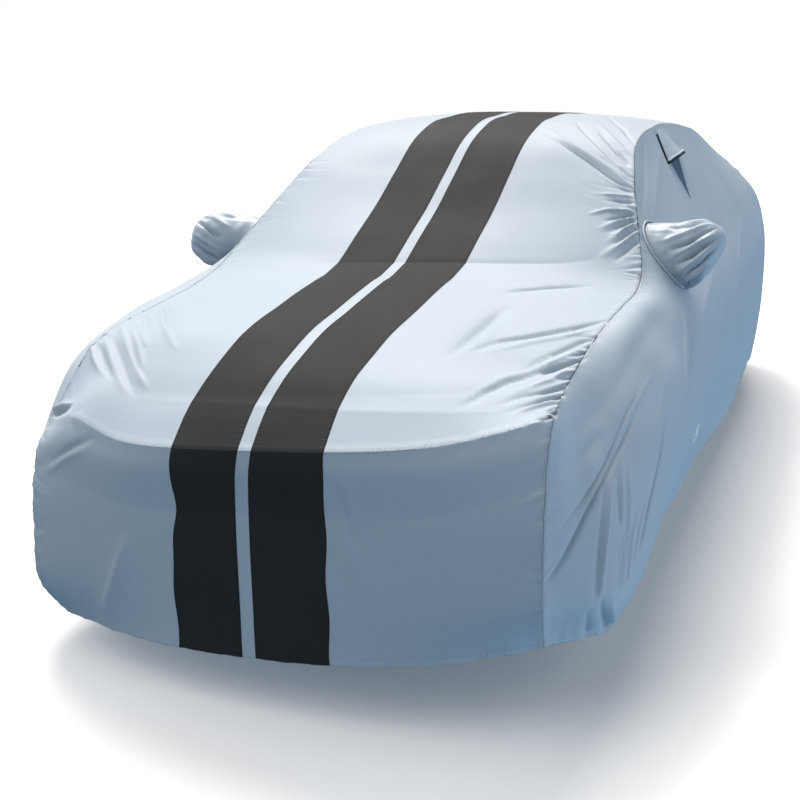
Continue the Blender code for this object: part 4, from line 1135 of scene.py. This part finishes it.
def sewn_grid(name, rows, cols, four, height):
    """A sheet on the window between four corners, that stands off it by a height for each place."""
    four = np.array(four)
    grid = np.zeros((rows, cols, 3))
    for i, drop in enumerate(np.linspace(0.0, 1.0, rows)):
        for j, share in enumerate(np.linspace(0.0, 1.0, cols)):
            top, low = four[0::2] * (1 - share) + four[1::2] * share
            y, z = top * (1 - drop) + low * drop
            point, out = on_side(name, y, z - SIDES[name] * ROOF_LEAN * VENT_X)
            grid[i, j] = point + out * height(share, drop)
    return grid


def hood_height(share, drop):
    """The hood is sewn flat along three edges, gathered, and stands open at its mouth."""
    across = math.sin(math.pi * share)
    pleat = VENT_PLEAT * math.sin(share * 21 + drop * 2.0) * across * drop**0.5 * (1.25 - drop)
    return VENT_PEAK * drop**1.2 * across**0.8 + pleat + VENT_CLOTH


def patch_gap(share, drop):
    return np.minimum(share, 1 - share) * (1 - drop) * PATCH_WIDE


def patch_height(share, drop):
    return PATCH_EDGE + PATCH_RISE * min(1.0, patch_gap(share, drop) / PATCH_ROUND)


def add_vent(name):
    side = SIDES[name]
    hood = sewn_grid(name, 41, 61, VENT_CORNERS, hood_height)
    body = grid_object(f"vent_cloth_{name}", hood, side, "hood", f"vent_hood_{name}")
    normal = normals_of([hood], [side])[0]
    front = (hood[:, 0] + BINDING_OVER[0] * normal[:, 0])[BINDING_START:-1]
    mouth = hood[-1] + BINDING_OVER[1] * normal[-1]
    binding = tube_mesh(np.concatenate([front, mouth]), np.repeat(BINDING_RADII, [len(front), len(mouth)]), 8)
    edge = part_object(f"vent_binding_{name}", *binding, "binding", f"vent_edge_{name}")
    roll = hood[BAND_ROW] + BAND_OVER * normal[BAND_ROW]
    band = part_object(f"vent_band_{name}", *tube_mesh(roll, BAND_RADIUS), "piping")
    # the patch's dark finish is painted shade below the hood's mouth
    grid = sewn_grid(name, 29, 25, PATCH_CORNERS, patch_height)
    share, drop = np.meshgrid(np.linspace(0.0, 1.0, 25), np.linspace(0.0, 1.0, 29))
    seam = mark(drop * PATCH_LONG, patch_gap(share, drop))
    patch = grid_object(f"patch_{name}", grid, side, "patch", f"vent_patch_{name}", seam_one=seam)
    return body, edge, band, patch


# --- eyelets

EYELET_HOLE, EYELET_FLANGE, EYELET_SIDES = 0.010, 0.018, 48
# The ring's height over the panel, its bead's height, its plate's thickness, its wall and how deep it reaches.
EYELET_OVER, EYELET_BEAD, EYELET_PLATE, EYELET_WALL, EYELET_DEEP = 0.0024, 0.0014, 0.0006, 0.0012, -0.004
# The panel's faces this near the middle are left out.
EYELET_ROOM = 0.0115
# Half the strip's length and height and how square its outline is. Its heights inside and at the edge, where its
# even rings start, and its rings and columns.
STRIP_HALF, STRIP_SQUARE = (0.042, 0.032), 6
STRIP_HIGH, STRIP_EDGE, STRIP_START, STRIP_RINGS, STRIP_AROUND = 0.0014, 0.0003, 0.013, 12, 72


def eyelet_frame(name):
    """The middle of an eyelet on the panel, with the directions out of it, along it and up it."""
    low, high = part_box(f"eyelet_ring_{name}")
    _, y, z = (np.array(low) + np.array(high)) / 2 + ORIGIN
    ways = ((-0.02, 0), (0.02, 0), (0, -0.02), (0, 0.02))
    front, back, below, above = (on_side(name, y + dy, z + dz)[0] for dy, dz in ways)
    out = np.cross(back - front, above - below)
    out *= SIDES[name] * math.copysign(1.0, out[0]) / np.linalg.norm(out)
    level = np.cross(out, (0.0, 0.0, 1.0))
    level /= np.linalg.norm(level)
    return on_side(name, y, z)[0], out, level, np.cross(level, out)


def add_eyelet(name):
    middle, out, level, up = eyelet_frame(name)
    over, under, inner = EYELET_OVER, EYELET_OVER - EYELET_PLATE, EYELET_HOLE + EYELET_WALL
    centre, half = 0.5 * (EYELET_HOLE + EYELET_FLANGE), 0.5 * (EYELET_FLANGE - EYELET_HOLE)
    bead = [
        (centre - half * math.cos(turn), over + EYELET_BEAD * math.sin(turn)) for turn in np.linspace(0.0, math.pi, 9)
    ]
    profile = [
        (EYELET_HOLE, EYELET_DEEP), (EYELET_HOLE, over - 0.001), *bead,
        (EYELET_FLANGE - EYELET_PLATE, under), (inner, under), (inner, EYELET_DEEP),
    ]
    angle = np.linspace(0.0, 2 * math.pi, EYELET_SIDES, endpoint=False)[:, None]
    around = np.cos(angle) * level + np.sin(angle) * up
    points = np.concatenate([middle + height * out + radius * around for radius, height in profile])
    faces = [(a, d, c, b) for a, b, c, d in ring_faces(len(profile), EYELET_SIDES, True)]
    ring = part_object(f"ring_{name}", points, faces, "metal", f"eyelet_ring_{name}")

    length, height = STRIP_HALF
    grid = np.zeros((STRIP_RINGS + 1, STRIP_AROUND + 1, 3))
    seam = np.zeros_like(grid)
    for j, turn in enumerate(np.linspace(0.0, 2 * math.pi, STRIP_AROUND + 1)):
        c, s = math.cos(turn), math.sin(turn)
        rim = 1 / ((abs(c) / length) ** STRIP_SQUARE + (abs(s) / height) ** STRIP_SQUARE) ** (1 / STRIP_SQUARE)
        for i, r in enumerate([EYELET_HOLE + 0.0016, *np.linspace(STRIP_START, rim, STRIP_RINGS)]):
            _, y, z = middle + r * (c * level + s * up)
            grid[i, j] = on_side(name, y, z)[0] + out * (STRIP_HIGH if i < STRIP_RINGS else STRIP_EDGE)
            seam[i, j] = (turn * 0.035, rim - r, 0.0)
    return ring, grid_object(f"strip_{name}", grid, SIDES[name], "strip", f"eyelet_strip_{name}", seam_one=seam)


def hole_under_eyelet(name):
    """The faces of the panel under the ring."""
    centres = sum(corners(moved[name])) / 4
    return np.linalg.norm(centres - eyelet_frame(name)[0], axis=-1) < EYELET_ROOM


# --- all pieces

NODES = {
    "top": "top_panel", "front": "front_panel", "rear": "rear_panel",
    "left": "side_panel_left", "right": "side_panel_right",
}
# How high a stripe stands off its panel inside, at its sides and at its ends.
STRIPE_HIGH, STRIPE_SIDE, STRIPE_END = 0.0016, 0.0005, 0.0010

holes = {name: snap_to_neck(name) | hole_under_eyelet(name) for name in SIDES}
pockets = {name: add_pocket(name) for name in SIDES}
vents = {name: add_vent(name) for name in SIDES}
eyelets = {name: add_eyelet(name) for name in SIDES}

for name, node in NODES.items():
    grid, vectors, hole = drawn_in(moved[name]), marks[name], holes.get(name)
    if name != "top":
        grid, vectors = turned_hem(grid, normals[name], vectors, int(name in SIDES))
    if hole is not None:
        hole = np.pad(hole, ((0, 0), (0, 2)))
    label = f"cloth_side_{name}" if name in SIDES else f"cloth_{name}"
    grid_object(label, grid, FLIPS[name], "cloth", node, hole, **vectors)

for place in ("top", "front", "rear"):
    for hand, cols in STRIPE_COLUMNS.items():
        grid = drawn_in(moved[place])[:, cols]
        high = np.full(grid.shape[:2], STRIPE_HIGH)
        high[[0, -1]] = STRIPE_END
        high[:, [0, -1]] = STRIPE_SIDE
        grid = grid + high[..., None] * normals[place][:, cols]
        across = lengths(grid, 1)
        seam = mark(lengths(grid, 0), np.minimum(across, across[:, -1:] - across))
        grid_object(
            f"band_{place}_{hand}", grid, FLIPS[place], "stripe", f"stripe_{place}_{hand}", seam_one=seam
        )

# --- floor, light and camera

GROUND = -ORIGIN[2]
FLOOR_HALF, FLOOR_GLOW = 60.0, 0.08
# The dome's radius, its rings and sides, and how far its foot lies below the ground.
DOME, DOME_RINGS, DOME_SIDES, DOME_SUNK = 50.0, 12, 48, 0.5
WHITE, BLACK = (1.0, 1.0, 1.0, 1.0), (0.0, 0.0, 0.0, 1.0)
FLOOR_TINTS = (0.88, 0.86, 0.84, 1.0), (0.90, 0.88, 0.86, 1.0)
# Columns: the way a lobe lies, where it starts and is full (as the cosine of the angle to it), its light.
LOBES = (
    ((1.0, 0.0, 0.0), 0.2, 0.8, (0.82, 0.92, 1.04)),
    ((-0.72, -0.1, 0.69), 0.5, 0.9, (2.00, 2.02, 2.04)),
    ((0.0, 0.0, -1.0), 0.0, 0.1, (0.04, 0.14, 0.25)),
    ((0.83, 0.0, -0.55), 0.3, 0.9, (0.08, 0.18, 0.24)),
)
# The band of light at the horizon: where it ends above and below, as heights on a sphere. It is white on the far
# side of the cover, which BEHIND points to, from one cosine to another, and blue all round otherwise.
BAND_TOP, BAND_BOTTOM = (0.10, 0.15), (-0.05, -0.09)
BEHIND, BEHIND_COSINES, BAND_BLUE = (-0.40, 0.917, 0.0), (0.70, 0.90), (0.16, 0.33, 0.48, 1.0)
# Columns: the way to the lamp, strength, colour, angle it fills.
SUNS = (
    ((-0.50, 0.60, 1.0), 2.6, (1.0, 0.93, 0.87), 22),
    ((-0.12, 0.90, 1.0), 1.9, (1.0, 0.93, 0.87), 28),
)


def stage_object(name, points, faces, made, glow):
    """Part of the picture's surroundings: it shows, but throws no light on the cover."""
    made.give({"Emission Color": WHITE, "Emission Strength": glow})
    placed = new_object(name, np.array(points), faces, made.material)
    placed.visible_diffuse = placed.visible_glossy = False
    return placed


def add_floor():
    made = Finish("floor", 0.9, specular=0.1)
    made.give({"Base Color": made.mix(made.noise(1.5), *FLOOR_TINTS)})
    signs = ((-1, -1), (1, -1), (1, 1), (-1, 1))
    points = [(x * FLOOR_HALF, y * FLOOR_HALF, GROUND) for x, y in signs]
    stage_object("floor", points, [(0, 1, 2, 3)], made, FLOOR_GLOW)


def add_backdrop():
    """A white dome that the camera alone sees, so that the lights fall through it."""
    made = Finish("backdrop", 0.9, specular=0.0)
    made.give({"Base Color": BLACK})
    up = np.linspace(0.0, 0.5 * math.pi, DOME_RINGS + 1)[:-1, None]
    around = np.linspace(0.0, 2 * math.pi, DOME_SIDES, endpoint=False)
    points = np.stack(np.broadcast_arrays(np.cos(up) * np.cos(around), np.cos(up) * np.sin(around), np.sin(up)), -1)
    points = DOME * np.concatenate([points.reshape(-1, 3), [(0.0, 0.0, 1.0)]]) + (0.0, 0.0, GROUND - DOME_SUNK)
    last = (DOME_RINGS - 1) * DOME_SIDES
    cap = [(last + side, last + (side + 1) % DOME_SIDES, last + DOME_SIDES) for side in range(DOME_SIDES)]
    backdrop = stage_object("backdrop", points, ring_faces(DOME_RINGS, DOME_SIDES) + cap, made, 1.0)
    backdrop.visible_shadow = False


def add_sun(name, heading, strength, colour, angle):
    data = bpy.data.lights.new(name, "SUN")
    data.energy, data.color, data.angle = strength, colour, math.radians(angle)
    lamp = bpy.data.objects.new(name, data)
    lamp.rotation_mode = "QUATERNION"
    lamp.rotation_quaternion = Vector(heading).to_track_quat("Z", "Y")
    bpy.context.scene.collection.objects.link(lamp)


def add_world():
    """Soft lobes of light from the left, from above on the right and from below, and the band at the horizon."""
    world = bpy.data.worlds.new("studio")
    world.use_nodes = True
    nodes = Nodes(world.node_tree)
    heading = nodes.add("ShaderNodeTexCoord")["Generated"]
    height = nodes.add("ShaderNodeSeparateXYZ", {0: heading})["Z"]

    def facing(way):
        return nodes.add("ShaderNodeVectorMath", {0: heading, 1: way}, operation="DOT_PRODUCT")["Value"]

    colour = BLACK
    for way, start, end, light in LOBES:
        colour = nodes.mix(nodes.ease(facing(way), start, end), colour, (*light, 1.0), "ADD")
    outside = nodes.plus(nodes.ease(height, *BAND_TOP), nodes.ease(height, *BAND_BOTTOM))
    band = nodes.mix(nodes.ease(facing(BEHIND), *BEHIND_COSINES), BAND_BLUE, WHITE)
    nodes.feed(nodes.tree.nodes["Background"].inputs, {0: nodes.mix(outside, band, colour)})
    bpy.context.scene.world = world


def add_camera():
    forward, right, up = view_axes()
    data = bpy.data.cameras.new("camera")
    data.sensor_width, data.lens = 36.0, FOCAL * 36.0 / FRAME
    camera = bpy.data.objects.new("camera", data)
    rows = np.stack([right, up, -forward, np.array(EYE) - ORIGIN], axis=1)
    camera.matrix_world = Matrix([list(row) for row in rows] + [[0.0, 0.0, 0.0, 1.0]])
    bpy.context.scene.collection.objects.link(camera)
    bpy.context.scene.camera = camera


add_floor()
add_backdrop()
for number, sun in enumerate(SUNS):
    add_sun(f"sun_{number}", *sun)
add_world()
add_camera()
bpy.context.scene.view_settings.view_transform = "Standard"
